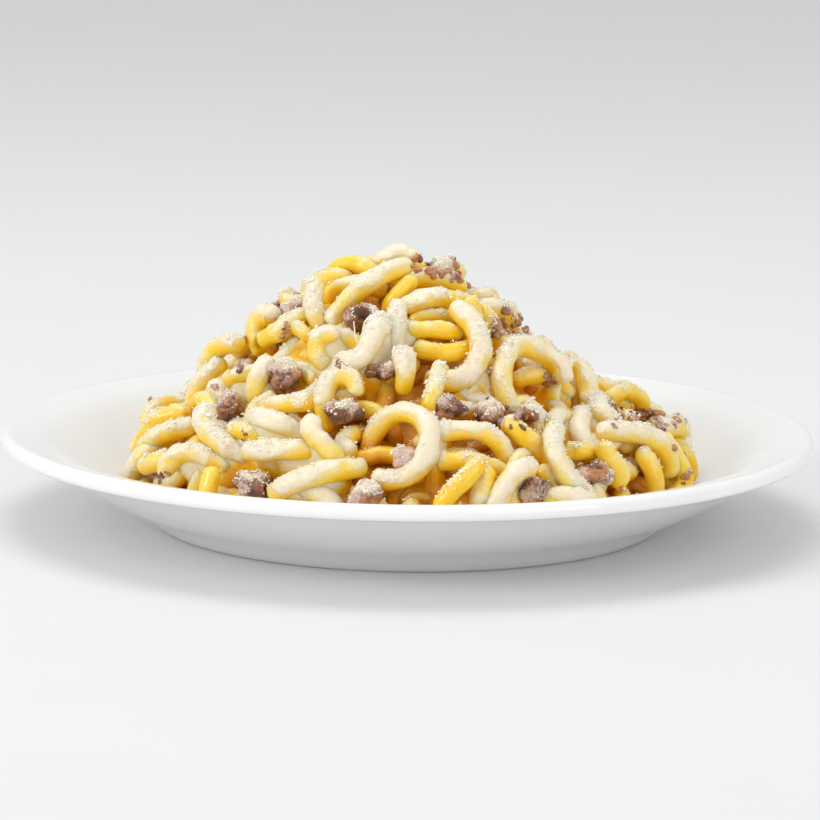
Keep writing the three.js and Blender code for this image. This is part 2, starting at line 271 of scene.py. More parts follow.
def noise(points, size, seed=0):
    """Smooth noise from -1 to 1: hashed numbers at the corners of a cubic lattice, blended inside it."""
    place = np.asarray(points, float) / size + 31.7 * (seed + 1)
    corner = np.floor(place).astype(np.int64)
    part = place - corner
    part = part * part * (3 - 2 * part)
    total = np.zeros(place.shape[:-1])
    for step in np.ndindex(2, 2, 2):
        x, y, z = np.moveaxis(corner + np.array(step), -1, 0)
        mixed = (x * 374761393 + y * 668265263 + z * 1442695041 + seed * 974711) & 0xFFFFFFFF
        mixed = ((mixed ^ (mixed >> 13)) * 1274126177) & 0xFFFFFFFF
        share = np.prod(np.where(np.array(step) == 1, part, 1 - part), axis=-1)
        total += share * ((mixed ^ (mixed >> 16)) / 0xFFFFFFFF)
    return 2 * total - 1


def full_turn(count):
    """Angles spread evenly over a full turn."""
    return np.linspace(0, 2 * np.pi, count, endpoint=False)


def in_front(facing):
    """How much a place belongs to the shown side, from how far it faces the front."""
    return ease(facing, 0.2, 0.55)


def curve_through(knots, count):
    """Points of a Catmull-Rom curve through knots: a cubic between each two, with their slopes."""
    knots = np.asarray(knots, float)
    padded = np.vstack([2 * knots[0] - knots[1], knots, 2 * knots[-1] - knots[-2]])
    place = np.linspace(0, len(knots) - 1, count)
    index = np.minimum(place.astype(int), len(knots) - 2)
    return cubic(padded[index], padded[index + 1], padded[index + 2], padded[index + 3],
                 (place - index)[:, None])


def cubic(before, start, end, after, t):
    """The Catmull-Rom cubic from start to end at t from 0 to 1."""
    return 0.5 * (2 * start + (end - before) * t + (2 * before - 5 * start + 4 * end - after) * t ** 2
                  + (3 * start - before - 3 * end + after) * t ** 3)


def cubic_slope(before, start, end, after, t):
    """How fast that cubic moves at t."""
    return 0.5 * ((end - before) + 2 * (2 * before - 5 * start + 4 * end - after) * t
                  + 3 * (3 * start - before - 3 * end + after) * t ** 2)


SKIN = curve_through(SKIN_OUTLINE, 90)
SKIN_ALONG = np.concatenate([[0], np.cumsum(np.linalg.norm(np.diff(SKIN, axis=0), axis=1))])
TOP = np.vstack([[0, PLATE_TOP[0][1]], curve_through(PLATE_TOP, 48)])


def lean(height):
    """How far the heap's axis stands to the side at a height."""
    return LEAN_AT_BASE + (LEAN_AT_PEAK - LEAN_AT_BASE) * height / PEAK


def skin_radius(height):
    """The radius of the heap's skin at a height."""
    return np.interp(height, SKIN[:, 1], SKIN[:, 0])


def plate_surface(points):
    """The height of the plate's eating surface under points."""
    return np.interp(np.hypot(points[..., 0], points[..., 1]), TOP[:, 0], TOP[:, 1])


def skin_gap(points):
    """How far points stand outside the skin, less than 0 inside it, and the way out at each.

    Each point is put into the half plane through the leaning axis, and measured there from the
    nearest of the stretches between the skin's points.
    """
    across = points[..., 0] - lean(points[..., 2])
    radius = np.hypot(across, points[..., 1])
    flat = np.stack([radius, points[..., 2]], -1)
    start, along = SKIN[:-1], np.diff(SKIN, axis=0)
    offset = flat[..., None, :] - start
    share = np.clip((offset * along).sum(-1) / (along ** 2).sum(-1), 0, 1)
    away = offset - share[..., None] * along
    distance = np.linalg.norm(away, axis=-1)
    nearest = distance.argmin(-1)
    direction = unit(along)[nearest]
    out = np.stack([direction[..., 1], -direction[..., 0]], -1)
    picked = np.take_along_axis(away, nearest[..., None, None], axis=-2)[..., 0, :]
    gap = np.take_along_axis(distance, nearest[..., None], axis=-1)[..., 0]
    gap = gap * np.where((picked * out).sum(-1) < 0, -1, 1)
    level = np.stack([across, points[..., 1]], -1) / np.maximum(radius, 1e-6)[..., None]
    return gap, np.concatenate([level * out[..., :1], out[..., 1:]], -1)


def heading(azimuth, rise):
    """Unit vectors at azimuths, 0 to the front and 90 to the right, and rises above the level."""
    azimuth, rise = np.radians(azimuth), np.radians(rise)
    return np.stack([np.cos(rise) * np.sin(azimuth), -np.cos(rise) * np.cos(azimuth), np.sin(rise)], -1)


def skin_places(across, height):
    """Points of the skin's front half at places across and up, or beside it where they miss it."""
    depth = skin_radius(height) ** 2 - (across - lean(height)) ** 2
    return np.stack([across, -np.sqrt(np.clip(depth, 0, None)), height], -1)


def hand_placed(table):
    """The rows of a listed table, and where each lies on the skin."""
    rows = np.array(table, float)
    return rows, skin_places(rows[:, 0], rows[:, 1])


def round_heap(azimuth, height, radius):
    """Points round the heap's leaning axis at azimuths, heights and radii."""
    level = np.zeros(len(height))
    return heading(azimuth, level) * radius[:, None] + np.stack([lean(height), level, height], -1)


def golden_spiral(count, stray, pick):
    """Places spread evenly over a round heap: how far up each lies from 0 to 1, and its azimuth.

    Each azimuth is turned from the one before by the golden angle, and strays a little.
    """
    index = np.arange(count)
    climb = 1 - np.sqrt(1 - (index + 0.5) / count)
    return climb, index * 180 * (3 - math.sqrt(5)) + pick.uniform(-stray, stray, count)


# ---- meshes ----


def tube_faces(count, rings, sides):
    """Faces of closed tubes, each with a pole, rings of sides corners and a pole, one after another."""
    ring, side = np.meshgrid(np.arange(rings - 1), np.arange(sides), indexing="ij")
    corner = 1 + ring * sides + side
    beside = 1 + ring * sides + (side + 1) % sides
    quads = np.stack([corner, beside, beside + sides, corner + sides], -1).reshape(-1, 4)
    side = np.arange(sides)
    last = 1 + (rings - 1) * sides
    start = np.stack([np.zeros(sides, int), 1 + (side + 1) % sides, 1 + side], -1)
    end = np.stack([np.full(sides, last + sides), last + side, last + (side + 1) % sides], -1)
    shift = (np.arange(count) * (rings * sides + 2))[:, None, None]
    return (quads + shift).reshape(-1, 4), (np.vstack([start, end]) + shift).reshape(-1, 3)


def turned(profile, sides):
    """A closed shape turned about the upright axis: each inner point of the profile makes a ring."""
    turn = full_turn(sides)
    rings = np.stack([profile[1:-1, :1] * np.cos(turn), profile[1:-1, :1] * np.sin(turn),
                      np.broadcast_to(profile[1:-1, 1:], (len(profile) - 2, sides))], -1)
    poles = [[0, 0, profile[0, 1]], [0, 0, profile[-1, 1]]]
    quads, triangles = tube_faces(1, len(profile) - 2, sides)
    points = np.vstack([poles[:1], rings.reshape(-1, 3), poles[1:]])
    return points, [quads[:, ::-1], triangles[:, ::-1]]


def with_poles(rings, poles):
    """Points or values of tubes in the order of their faces: a pole, the rings and the other pole."""
    body = rings.reshape(len(rings), -1, *poles.shape[2:])
    return np.concatenate([poles[:, :1], body, poles[:, 1:]], axis=1)


def add_piece(name, points, faces, material, slot, flat=False, **attributes):
    """A mesh object from points in millimetres, faces and values for each point."""
    mesh = bpy.data.meshes.new(name)
    corners = np.concatenate([part.ravel() for part in faces]).astype(np.int32)
    sizes = np.concatenate([np.full(len(part), part.shape[1]) for part in faces])
    mesh.vertices.add(len(points))
    mesh.vertices.foreach_set("co", (points * MM).astype(np.float32).ravel())
    mesh.loops.add(len(corners))
    mesh.loops.foreach_set("vertex_index", corners)
    mesh.polygons.add(len(sizes))
    mesh.polygons.foreach_set("loop_start", (np.cumsum(sizes) - sizes).astype(np.int32))
    mesh.update(calc_edges=True)
    mesh.validate()
    if not flat:
        mesh.shade_smooth()
    for key, values in attributes.items():
        layer = mesh.attributes.new(key, "FLOAT", "POINT")
        layer.data.foreach_set("value", np.asarray(values, np.float32).ravel())
    mesh.materials.append(material)
    piece = bpy.data.objects.new(name, mesh)
    bpy.context.scene.collection.objects.link(piece)
    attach(piece, "root")
    return piece


def rows_of(items, key, kind=np.float32):
    """Three numbers of each of a mesh's items, as the rows of an array."""
    values = np.empty(3 * len(items), kind)
    items.foreach_get(key, values)
    return values.reshape(-1, 3)


def food_tree(*prefixes):
    """A search tree of the pieces whose names start so."""
    corners, faces = [], []
    for piece in bpy.context.scene.objects:
        if piece.type != "MESH" or not piece.name.startswith(prefixes):
            continue
        piece.data.calc_loop_triangles()
        triangles = rows_of(piece.data.loop_triangles, "vertices", np.int32)
        faces.append(triangles + sum(len(part) for part in corners))
        corners.append(rows_of(piece.data.vertices, "co"))
    return BVHTree.FromPolygons(np.vstack(corners).tolist(), np.vstack(faces).tolist())


def dropped(tree, starts, ways):
    """Where rays meet the food: hit points, normals and which rays met it, in millimetres."""
    hits = [tree.ray_cast(Vector(start * MM), Vector(way)) for start, way in zip(starts, ways)]
    met = np.array([hit[0] is not None for hit in hits])
    points = np.array([hit[0] for hit in hits if hit[0] is not None]).reshape(-1, 3) / MM
    normals = np.array([hit[1] for hit in hits if hit[0] is not None]).reshape(-1, 3)
    return points, normals, met


def placed(shapes, places, normals, turns):
    """Small shapes laid on a surface: each is turned about its normal and moved to its place."""
    side = unit(np.cross(normals, normals + np.array([0.3, 0.5, -0.4])))
    other = np.cross(normals, side)
    across = side * np.cos(turns)[:, None] + other * np.sin(turns)[:, None]
    along = np.cross(normals, across)
    return (places[:, None] + shapes[..., :1] * across[:, None] + shapes[..., 1:2] * along[:, None]
            + shapes[..., 2:] * normals[:, None])


# ---- materials ----


class Finish:
    """A material under construction, whose nodes are added and joined one at a time."""

    def __init__(self, name):
        """An empty material with its shader joined to its output."""
        self.material = bpy.data.materials.new(name)
        self.material.use_nodes = True
        self.tree = self.material.node_tree
        self.tree.nodes.clear()
        self.shader = self.add("ShaderNodeBsdfPrincipled")
        output = self.add("ShaderNodeOutputMaterial")
        self.join(self.shader.outputs["BSDF"], output.inputs["Surface"])

    def add(self, kind, **settings):
        """A new node, with its properties set by name."""
        node = self.tree.nodes.new(kind)
        for key, value in settings.items():
            setattr(node, key, value)
        return node

    def join(self, source, target):
        """A link from an output to an input, or a plain value or a settings' colour put into the input."""
        if isinstance(source, Color):
            target.default_value = (*source, 1)
        elif isinstance(source, (int, float, tuple, list)):
            target.default_value = source
        else:
            self.tree.links.new(source, target)

    def place(self):
        """The point's place in the object's own coordinates."""
        return self.add("ShaderNodeTexCoord").outputs["Object"]

    def value(self, name):
        """A value stored at each point of the mesh."""
        return self.add("ShaderNodeAttribute", attribute_name=name).outputs["Fac"]

    def grain(self, size, detail=3, roughness=0.55):
        """Soft noise whose spots are about a size in millimetres."""
        node = self.add("ShaderNodeTexNoise")
        self.join(self.place(), node.inputs["Vector"])
        node.inputs["Scale"].default_value = 1 / (size * MM)
        node.inputs["Detail"].default_value = detail
        node.inputs["Roughness"].default_value = roughness
        return node.outputs["Fac"]

    def span(self, source, low, high, start=0.0, end=1.0):
        """A value carried from one range to another, and held inside it."""
        node = self.add("ShaderNodeMapRange", interpolation_type="SMOOTHSTEP")
        for key, part in (("Value", source), ("From Min", low), ("From Max", high),
                          ("To Min", start), ("To Max", end)):
            self.join(part, node.inputs[key])
        return node.outputs["Result"]

    def sum(self, first, second, operation="ADD"):
        """Two values put together by an arithmetic operation."""
        node = self.add("ShaderNodeMath", operation=operation)
        self.join(first, node.inputs[0])
        self.join(second, node.inputs[1])
        return node.outputs[0]

    def blend(self, share, first, second):
        """A colour between two, by a share."""
        node = self.add("ShaderNodeMix", data_type="RGBA")
        self.join(share, node.inputs[0])
        self.join(first, node.inputs[6])
        self.join(second, node.inputs[7])
        return node.outputs[2]

    def over(self, tint, colour, source, low, high, most=1.0):
        """A colour laid over another where a value rises from low to high, by at most a share."""
        return self.blend(self.span(source, low, high, 0.0, most), tint, colour)

    def ragged(self, name, fine, reach):
        """A value stored at each point, made uneven by fine noise up to a reach."""
        return self.sum(self.value(name), self.span(fine, 0.3, 0.7, -reach, reach))

    def dusted(self, tint, fine):
        """A colour turned to cheese white where grated cheese has gathered, with a ragged edge."""
        return self.over(tint, CHEESE_WHITE, self.ragged("cheese", fine, 0.35), 0.3, 1.1, 0.75)

    def bump(self, source, depth, strength=1.0):
        """Fine relief from a value, with a depth in millimetres."""
        node = self.add("ShaderNodeBump")
        self.join(source, node.inputs["Height"])
        node.inputs["Distance"].default_value = depth * MM
        node.inputs["Strength"].default_value = strength
        self.join(node.outputs["Normal"], self.shader.inputs["Normal"])

    def set(self, **inputs):
        """Plain values or links for the shader's inputs, with _ for a space."""
        for key, source in inputs.items():
            self.join(source, self.shader.inputs[key.replace("_", " ")])


def glazed_china(look):
    """Glossy white glaze, a little uneven, over white china."""
    finish = Finish("glazed_china")
    cloud = finish.grain(30, 2)
    tint = finish.blend(cloud, look.glaze, GLAZE_CLOUD)
    finish.set(Base_Color=tint, Roughness=finish.span(cloud, 0.2, 0.8, 0.09, 0.16), Coat_Weight=0.3,
               Coat_Roughness=0.05, IOR=1.5)
    finish.bump(finish.grain(9, 1), 0.04, 0.25)
    return finish.material


def sauced_noodle(look):
    """Yellow egg pasta under a cream film that comes and goes, with painted amber and brown crease shade."""
    finish = Finish("sauced_noodle")
    fine = finish.grain(1.5, 4)
    broad = finish.grain(6, 2)
    crease = finish.value("crease")
    egg = finish.over(look.yellow, look.deep_yellow, broad, 0.35, 0.65)
    # painted shade: amber, then brown, the deeper the point lies under the heap's skin
    egg = finish.over(egg, look.amber, crease, 0.1, 0.7, 0.9)
    egg = finish.over(egg, look.brown, crease, 0.6, 1.0, 0.8)
    # the sauce value is partly painted light: cream on upper and outer sides, bare yellow beneath
    ragged = finish.ragged("sauce", fine, 0.08)
    thin = finish.span(ragged, 0.12, 0.6)
    thick = finish.span(ragged, 0.48, 1.0)
    tint = finish.blend(thin, egg, look.pale_yellow)
    tint = finish.blend(thick, tint, look.cream)
    tint = finish.dusted(tint, fine)
    finish.set(Base_Color=tint, Roughness=finish.span(thick, 0, 1, 0.32, 0.4), IOR=1.45,
               Subsurface_Weight=0.5, Subsurface_Radius=(1.0, 0.6, 0.16), Subsurface_Scale=0.004,
               Coat_Weight=0.4, Coat_Roughness=0.16)
    relief = finish.sum(finish.grain(0.9, 3), finish.span(thick, 0, 1, 0.6, 1.6), "MULTIPLY")
    finish.bump(finish.sum(relief, thick), 0.35, 0.75)
    return finish.material


def cream(look, name, softness):
    """Cream sauce: pale, smooth and a little glossy, with light let in by a softness."""
    finish = Finish(name)
    fine = finish.grain(2.2, 3)
    crease = finish.value("crease")
    # painted shade: where the sauce lies deep in the creases it turns pale yellow, then deep yellow to amber
    deep = finish.blend(crease, look.deep_yellow, look.amber)
    tint = finish.over(look.cream, look.pale_yellow, fine, 0.35, 0.7, 0.5)
    tint = finish.over(tint, look.pale_yellow, crease, 0.02, 0.2)
    tint = finish.over(tint, deep, crease, 0.12, 0.45)
    tint = finish.dusted(tint, fine)
    finish.set(Base_Color=tint, Roughness=0.36, IOR=1.45, Subsurface_Weight=softness,
               Subsurface_Radius=(1.0, 0.65, 0.25), Subsurface_Scale=0.004, Coat_Weight=0.2,
               Coat_Roughness=0.2)
    finish.bump(finish.sum(fine, finish.grain(0.9, 3)), 0.35, 0.8)
    return finish.material


def packed_pasta(look):
    """The noodles deep inside the heap, painted brown and amber as the shade seen between the outer ones."""
    finish = Finish("packed_pasta")
    fine = finish.grain(5, 3)
    # painted shade: brown to amber in place of yellow pasta, which here lies only in shadow
    tint = finish.over(look.brown, look.amber, fine, 0.3, 0.7)
    finish.set(Base_Color=tint, Roughness=0.5, IOR=1.45)
    finish.bump(fine, 1.0, 0.6)
    return finish.material


def crumbled_sausage(look):
    """Fried sausage: mauve brown meat, crisp orange bits, and a thin film of cream over it."""
    finish = Finish("crumbled_sausage")
    fine = finish.grain(0.9, 4, 0.7)
    broad = finish.grain(3.2, 3)
    meat = finish.over(look.meat, look.dark_meat, broad, 0.35, 0.65)
    seared = finish.sum(finish.value("crisp"), finish.span(finish.grain(3.5, 2), 0.35, 0.7, -0.4, 0.4))
    meat = finish.over(meat, look.crisp, seared, 0.3, 0.8)
    # painted shade: MEAT_SHADE where the point lies in a hollow between the grains
    meat = finish.over(meat, MEAT_SHADE, finish.value("hollow"), 0, 1, 0.85)
    tint = finish.over(meat, look.film, finish.ragged("sauce", fine, 0.35), 0.35, 1.0, 0.85)
    tint = finish.dusted(tint, fine)
    finish.set(Base_Color=tint, Roughness=finish.span(fine, 0.3, 0.7, 0.32, 0.6), IOR=1.45,
               Subsurface_Weight=0.12, Subsurface_Radius=(1.0, 0.4, 0.25), Subsurface_Scale=0.0015,
               Coat_Weight=0.2, Coat_Roughness=0.25)
    finish.bump(fine, 0.4, 0.8)
    return finish.material


def grated_cheese(look):
    """Finely grated hard cheese: near white, matt and slightly waxy."""
    finish = Finish("grated_cheese")
    tint = finish.blend(finish.grain(2.5, 2), look.pale, look.warm)
    finish.set(Base_Color=tint, Roughness=0.55, IOR=1.45, Sheen_Weight=0.4, Sheen_Roughness=0.5)
    return finish.material


def pale_floor(look):
    """A plain pale floor with a hint of grain."""
    finish = Finish("pale_floor")
    tint = finish.blend(finish.grain(60, 3), look.floor, (*(0.97 * c for c in look.floor), 1))
    finish.set(Base_Color=tint, Roughness=0.7)
    return finish.material


# ---- the plate ----


def plate_profile():
    """The plate's half section from the axis over the eating surface, the lip and the foot back to it."""
    turn = np.radians(np.linspace(80, -60, 15))[:, None]
    lip = np.array(PLATE_TOP[-1]) - [0, LIP_RADIUS] + LIP_RADIUS * np.hstack([np.cos(turn), np.sin(turn)])
    well = np.stack([np.linspace(0, 50, 12), np.full(12, PLATE_TOP[0][1])], -1)
    upper = curve_through(PLATE_TOP, GLAZE_RINGS)[:-1]
    under = curve_through(PLATE_UNDER, GLAZE_RINGS // 2)
    return np.vstack([well, upper, lip, under, PLATE_FOOT])


# ---- the noodles ----


def noodle_lines(middle, face, rise, aim, length, bends, dips):
    """Centre lines bent in two stretches of even curve, in planes that face a direction.

    From the middle, the heading turns evenly over each half, by the bend of that half, and the two
    ends sink behind the plane by their dips, as the square of the way out.
    """
    fine = 4 * (NOODLE_POINTS - 1) + 1
    way = np.linspace(-1, 1, fine)
    bend = np.where(way < 0, bends[:, :1], bends[:, 1:])
    turn = np.radians(aim[:, None] + bend * way)
    step = length[:, None] / (fine - 1)
    stride = np.stack([np.cos(turn), np.sin(turn)], -1)
    stride = 0.5 * (stride[:, 1:] + stride[:, :-1]) * step[..., None]
    flat = np.concatenate([np.zeros((len(aim), 1, 2)), np.cumsum(stride, axis=1)], axis=1)
    flat = (flat - flat[:, fine // 2, None])[:, ::4]
    way = way[::4]
    sink = np.where(way < 0, dips[:, :1], dips[:, 1:]) * way ** 2
    out = heading(face, rise)
    right = heading(face + 90, np.zeros(len(face)))
    up = np.cross(out, right)
    return (middle[:, None] + flat[..., :1] * right[:, None] + flat[..., 1:] * up[:, None]
            - sink[..., None] * out[:, None])


def shown_lines():
    """The centre lines of the noodles of the shown side, and how much more sauce each has."""
    rows, middle = hand_placed(SHOWN_NOODLES)
    rise = np.full(len(rows), SHOWN_RISE)
    middle = middle + rows[:, 2:3] * heading(rows[:, 3], rise)
    lines = noodle_lines(middle, rows[:, 3], rise, rows[:, 4], rows[:, 5], rows[:, 6:8], rows[:, 8:10])
    return lines, rows[:, 10]


def spread_lines(count, depth, ahead, seed):
    """Curls spread evenly over the heap along a golden spiral, at a depth inside its skin.

    In front, behind the listed ones, they lie a further depth inside. Each is a ring or part of
    one, which bends evenly, and faces nearly the way out of the heap.
    """
    pick = np.random.default_rng(seed)
    climb, azimuth = golden_spiral(count, 8, pick)
    place = np.interp(0.03 + 0.95 * climb, SKIN_ALONG / SKIN_ALONG[-1], np.arange(len(SKIN)))
    radius, height = (np.interp(place, np.arange(len(SKIN)), SKIN[:, axis]) for axis in (0, 1))
    centre = round_heap(azimuth, height, radius)
    rise = 88 - 76 * radius / SKIN[0, 0]
    buried = depth + ahead * in_front(np.cos(np.radians(azimuth)))
    centre = centre - buried[:, None] * heading(azimuth, rise)
    ring = pick.uniform(6.5, 13, count)
    sweep = pick.uniform(110, 320, count)
    length = np.clip(ring * np.radians(sweep), 16, 52)
    bends = np.repeat((sweep / 2)[:, None], 2, axis=1) * pick.uniform(0.8, 1.2, (count, 2))
    bends = bends * np.where(pick.random(count) < 0.5, -1, 1)[:, None]
    lines = noodle_lines(centre, azimuth + pick.uniform(-25, 25, count), rise + pick.uniform(-12, 22, count),
                         pick.uniform(0, 360, count), length, bends, pick.uniform(0, 4, (count, 2)))
    return lines + (centre - lines.mean(axis=1))[:, None]


def clear_of(lines, taken, radius):
    """The lines whose middles lie clear of every taken line, and that enter no bare patch."""
    bare, holes = hand_placed([row for row in SHOWN_PATCHES if row[3] < 0])
    kept = []
    others = taken.reshape(-1, 3)
    for line in lines:
        covered = np.linalg.norm(others - line.mean(axis=0), axis=1).min() < 1.8 * radius
        inside = np.linalg.norm(line[:, None] - holes, axis=2) < 0.6 * bare[:, 2]
        if not covered and not inside.any():
            kept.append(line)
    return np.array(kept)


def near_pairs(points, owner, order, reach):
    """Pairs of points nearer than a reach, leaving out neighbours along the same noodle."""
    first, second = [], []
    square = (points ** 2).sum(-1)
    for start in range(0, len(points), 600):
        part = slice(start, start + 600)
        gap = square[part, None] + square[None] - 2 * points[part] @ points.T
        row, column = np.nonzero(gap < reach * reach)
        row = row + start
        keep = (column > row) & ((owner[row] != owner[column]) | (np.abs(order[row] - order[column]) > 5))
        first.append(row[keep])
        second.append(column[keep])
    return np.concatenate(first), np.concatenate(second)


def pushed_apart(now, first, second, weight, thickness):
    """How far points move away from those nearer than a thickness, shared between two by weight."""
    apart = now[first] - now[second]
    distance = np.maximum(np.linalg.norm(apart, axis=1), 1e-6)
    push = np.clip(thickness - distance, 0, None) / distance
    total = weight[first] + weight[second]
    move = np.zeros_like(now)
    met = np.maximum(np.bincount(first, push > 0, len(now)) + np.bincount(second, push > 0, len(now)), 1)
    for axis in range(3):
        share = apart[:, axis] * push / total
        move[:, axis] = (np.bincount(first, share * weight[first], len(now))
                         - np.bincount(second, share * weight[second], len(now)))
    return 1.5 * move / met[:, None]


def kept_off_lumps(now, weight, thickness, lumps):
    """Points inside a lump, which is an oval swollen by part of a thickness, drawn to its surface."""
    for middle, half in lumps:
        offset = (now - middle) / (half + 0.36 * thickness)
        depth = np.linalg.norm(offset, axis=1)
        inside = depth < 1
        pushed = middle + (now[inside] - middle) / np.maximum(depth[inside], 0.2)[:, None]
        now[inside] += (0.25 + 0.5 * weight[inside])[:, None] * (pushed - now[inside])
    return now


def kept_in_heap(now, weight, thickness):
    """Points drawn under the heap's roof, out of its middle and off the plate.

    The roof lies over the skin, and in front it is sunk for all but the listed noodles.
    """
    gap, out = skin_gap(now)
    ahead = in_front(-now[:, 1] / np.maximum(np.hypot(now[:, 0], now[:, 1]), 1))
    roof = np.where(weight < 0.5, 6, 4.5 - 6.5 * ahead)
    now -= np.clip(gap - roof, 0, None)[:, None] * 0.5 * out
    now += np.clip(-13 - gap, 0, None)[:, None] * 0.5 * out
    floor = plate_surface(now) + thickness / 2 + 0.2
    now[:, 2] = np.maximum(now[:, 2], floor)
    return now


def shape_matched(points, shape):
    """Each noodle's first shape, turned and moved to lie best on its present points."""
    middle = points.mean(axis=1, keepdims=True)
    spread = np.einsum("nki,nkj->nij", points - middle, shape)
    left, _, right = np.linalg.svd(spread)
    flip = np.sign(np.linalg.det(left @ right))
    left[:, :, 2] *= flip[:, None]
    return middle + np.einsum("nij,nkj->nki", left @ right, shape)


def settled(lines, give, thickness):
    """Centre lines pressed together until the noodles lie side by side.

    Each round draws the loose noodles in, pushes apart points nearer than a noodle's thickness,
    keeps them off the sausage, turns each noodle's first shape back onto its points, and keeps them
    in the heap. A noodle moves by its give: the listed ones hardly do, and in front the others
    stay below them.
    """
    count, size = lines.shape[:2]
    home = lines.copy()
    shape = lines - lines.mean(axis=1, keepdims=True)
    owner = np.repeat(np.arange(count), size)
    order = np.tile(np.arange(size), count)
    weight = np.repeat(give, size)
    lumps = list(zip(*lump_ovals()))
    now = lines.reshape(-1, 3).copy()
    for turn in range(SETTLING_ROUNDS):
        gap, out = skin_gap(now)
        now -= (0.1 * weight * (gap > -12))[:, None] * out
        if turn % 6 == 0:
            first, second = near_pairs(now, owner, order, thickness + 2.5)
        now += pushed_apart(now, first, second, weight, thickness)
        now = kept_off_lumps(now, weight, thickness, lumps)
        grown = shape_matched(now.reshape(count, size, 3), shape)
        now = now.reshape(count, size, 3)
        now += 0.3 * (grown - now) + (0.12 * (1 - give))[:, None, None] * (home - now)
        now = kept_in_heap(now.reshape(-1, 3), weight, thickness)
    return now.reshape(count, size, 3)


def ring_spacing(length, radius, rings):
    """How far along each tube its rings lie, and how wide each ring is.

    Four rings at either end follow a quarter oval, and the others lie evenly between them. The tube
    thins a little towards its ends, by the fourth power of the way out.
    """
    cap = np.radians([18, 38, 58, 76])
    body = np.linspace(0, 1, rings - 2 * len(cap))
    reach = 0.75 * radius[:, None]
    front = reach * (1 - np.cos(cap))
    middle = reach + (length[:, None] - 2 * reach) * body
    along = np.concatenate([front, middle, length[:, None] - front[:, ::-1]], axis=1)
    along = np.concatenate([np.zeros((len(length), 1)), along, length[:, None]], axis=1)
    girth = np.concatenate([np.sin(cap), np.ones(len(body)), np.sin(cap)[::-1]])
    return along, girth * (1 - 0.12 * np.linspace(-1, 1, rings) ** 4)


def ways_aside(forward):
    """Ways square to each path, each turned from the one before it as little as can be."""
    side = unit(np.cross(forward[:, 0], forward[:, 0] + np.array([0.31, 0.17, 0.59])))
    ways = [side]
    for ring in range(1, forward.shape[1]):
        side = unit(side - (side * forward[:, ring]).sum(-1, keepdims=True) * forward[:, ring])
        ways.append(side)
    return np.stack(ways, 1)


def swept(lines, radius, rings, sides):
    """The rings of tubes along centre lines, with rounded ends.

    A ring's distance along the tube gives its middle on the smooth curve through the line's points,
    and the ring is a slight oval, square to the curve. Returns the ring points, the ways out from
    the middles, how wide each ring is and the end poles.
    """
    count, size = lines.shape[:2]
    length = np.linalg.norm(np.diff(lines, axis=1), axis=2).sum(axis=1)
    along, girth = ring_spacing(length, radius, rings)
    place = along / length[:, None] * (size - 1)
    index = np.clip(place.astype(int), 0, size - 2)
    padded = np.concatenate([2 * lines[:, :1] - lines[:, 1:2], lines, 2 * lines[:, -1:] - lines[:, -2:-1]], 1)
    row = np.arange(count)[:, None]
    knots = [padded[row, index + step] for step in range(4)]
    share = (place - index)[..., None]
    centre = cubic(*knots, share)
    forward = unit(cubic_slope(*knots, share))
    side = ways_aside(forward)
    other = np.cross(forward, side)
    turn = full_turn(sides)
    out = (side[:, 1:-1, None] * np.cos(turn)[:, None] + other[:, 1:-1, None] * np.sin(turn)[:, None])
    oval = 1 + 0.045 * np.cos(2 * turn + row * 2.4)[:, None]
    reach = radius[:, None, None] * girth[:, None] * oval
    return centre[:, 1:-1, None] + reach[..., None] * out, out, girth, centre[:, [0, -1]]


def coated(rings, out, girth, extra):
    """Tube points swollen by the sauce film, with the sauce and painted crease shade values of each.

    The film lies where the surface looks up or out of the heap, broken up by noise at two sizes,
    and is up to half a millimetre thick, so the pale cream on upper sides and the bare yellow below
    are partly painted light and shade. Deep inside there is little of it. The painted crease shade
    is as deep as the point lies under the skin.
    """
    gap, away = skin_gap(rings)
    outward = (out * away).sum(-1)
    # partly painted light and shade: more cream on sides that face up and out, bare yellow beneath
    # the noise, the patches and each noodle's extra are where the sauce itself lies
    cover = (0.5 * out[..., 2] + 0.42 * outward + 0.5 * noise(rings, 7, 1) + 0.34 * noise(rings, 3.2, 2)
             + 0.35 * (thick_sauce(rings) - 0.5) + extra[:, None, None] - 0.6 * ease(-gap, 1, 6))
    sauce = np.clip(0.33 + 0.8 * cover, 0, 1)
    film = 0.5 * ease(sauce, 0.35, 0.8) * (0.8 + 0.75 * noise(rings, 2.5, 3) + 0.5 * noise(rings, 1.4, 24))
    film = film + 0.26 * noise(rings, 4.2, 4)
    film = film * np.minimum(girth * 1.2, 1)[:, None]
    # painted crease shade, by how deep the point lies under the skin
    crease = ease(-gap, 0.5, 8.0)
    return rings + film[..., None] * out, sauce, crease


def noodle_mesh(lines, radius, extra, rings, sides):
    """Points, faces and values of closed noodles along centre lines.

    A pole has the mean values of the ring beside it.
    """
    points, out, girth, poles = swept(lines, radius, rings, sides)
    points, *values = coated(points, out, girth, extra)
    values = [with_poles(part, part[:, [0, -1]].mean(-1)) for part in values]
    return with_poles(points, poles).reshape(-1, 3), tube_faces(len(lines), rings, sides), values


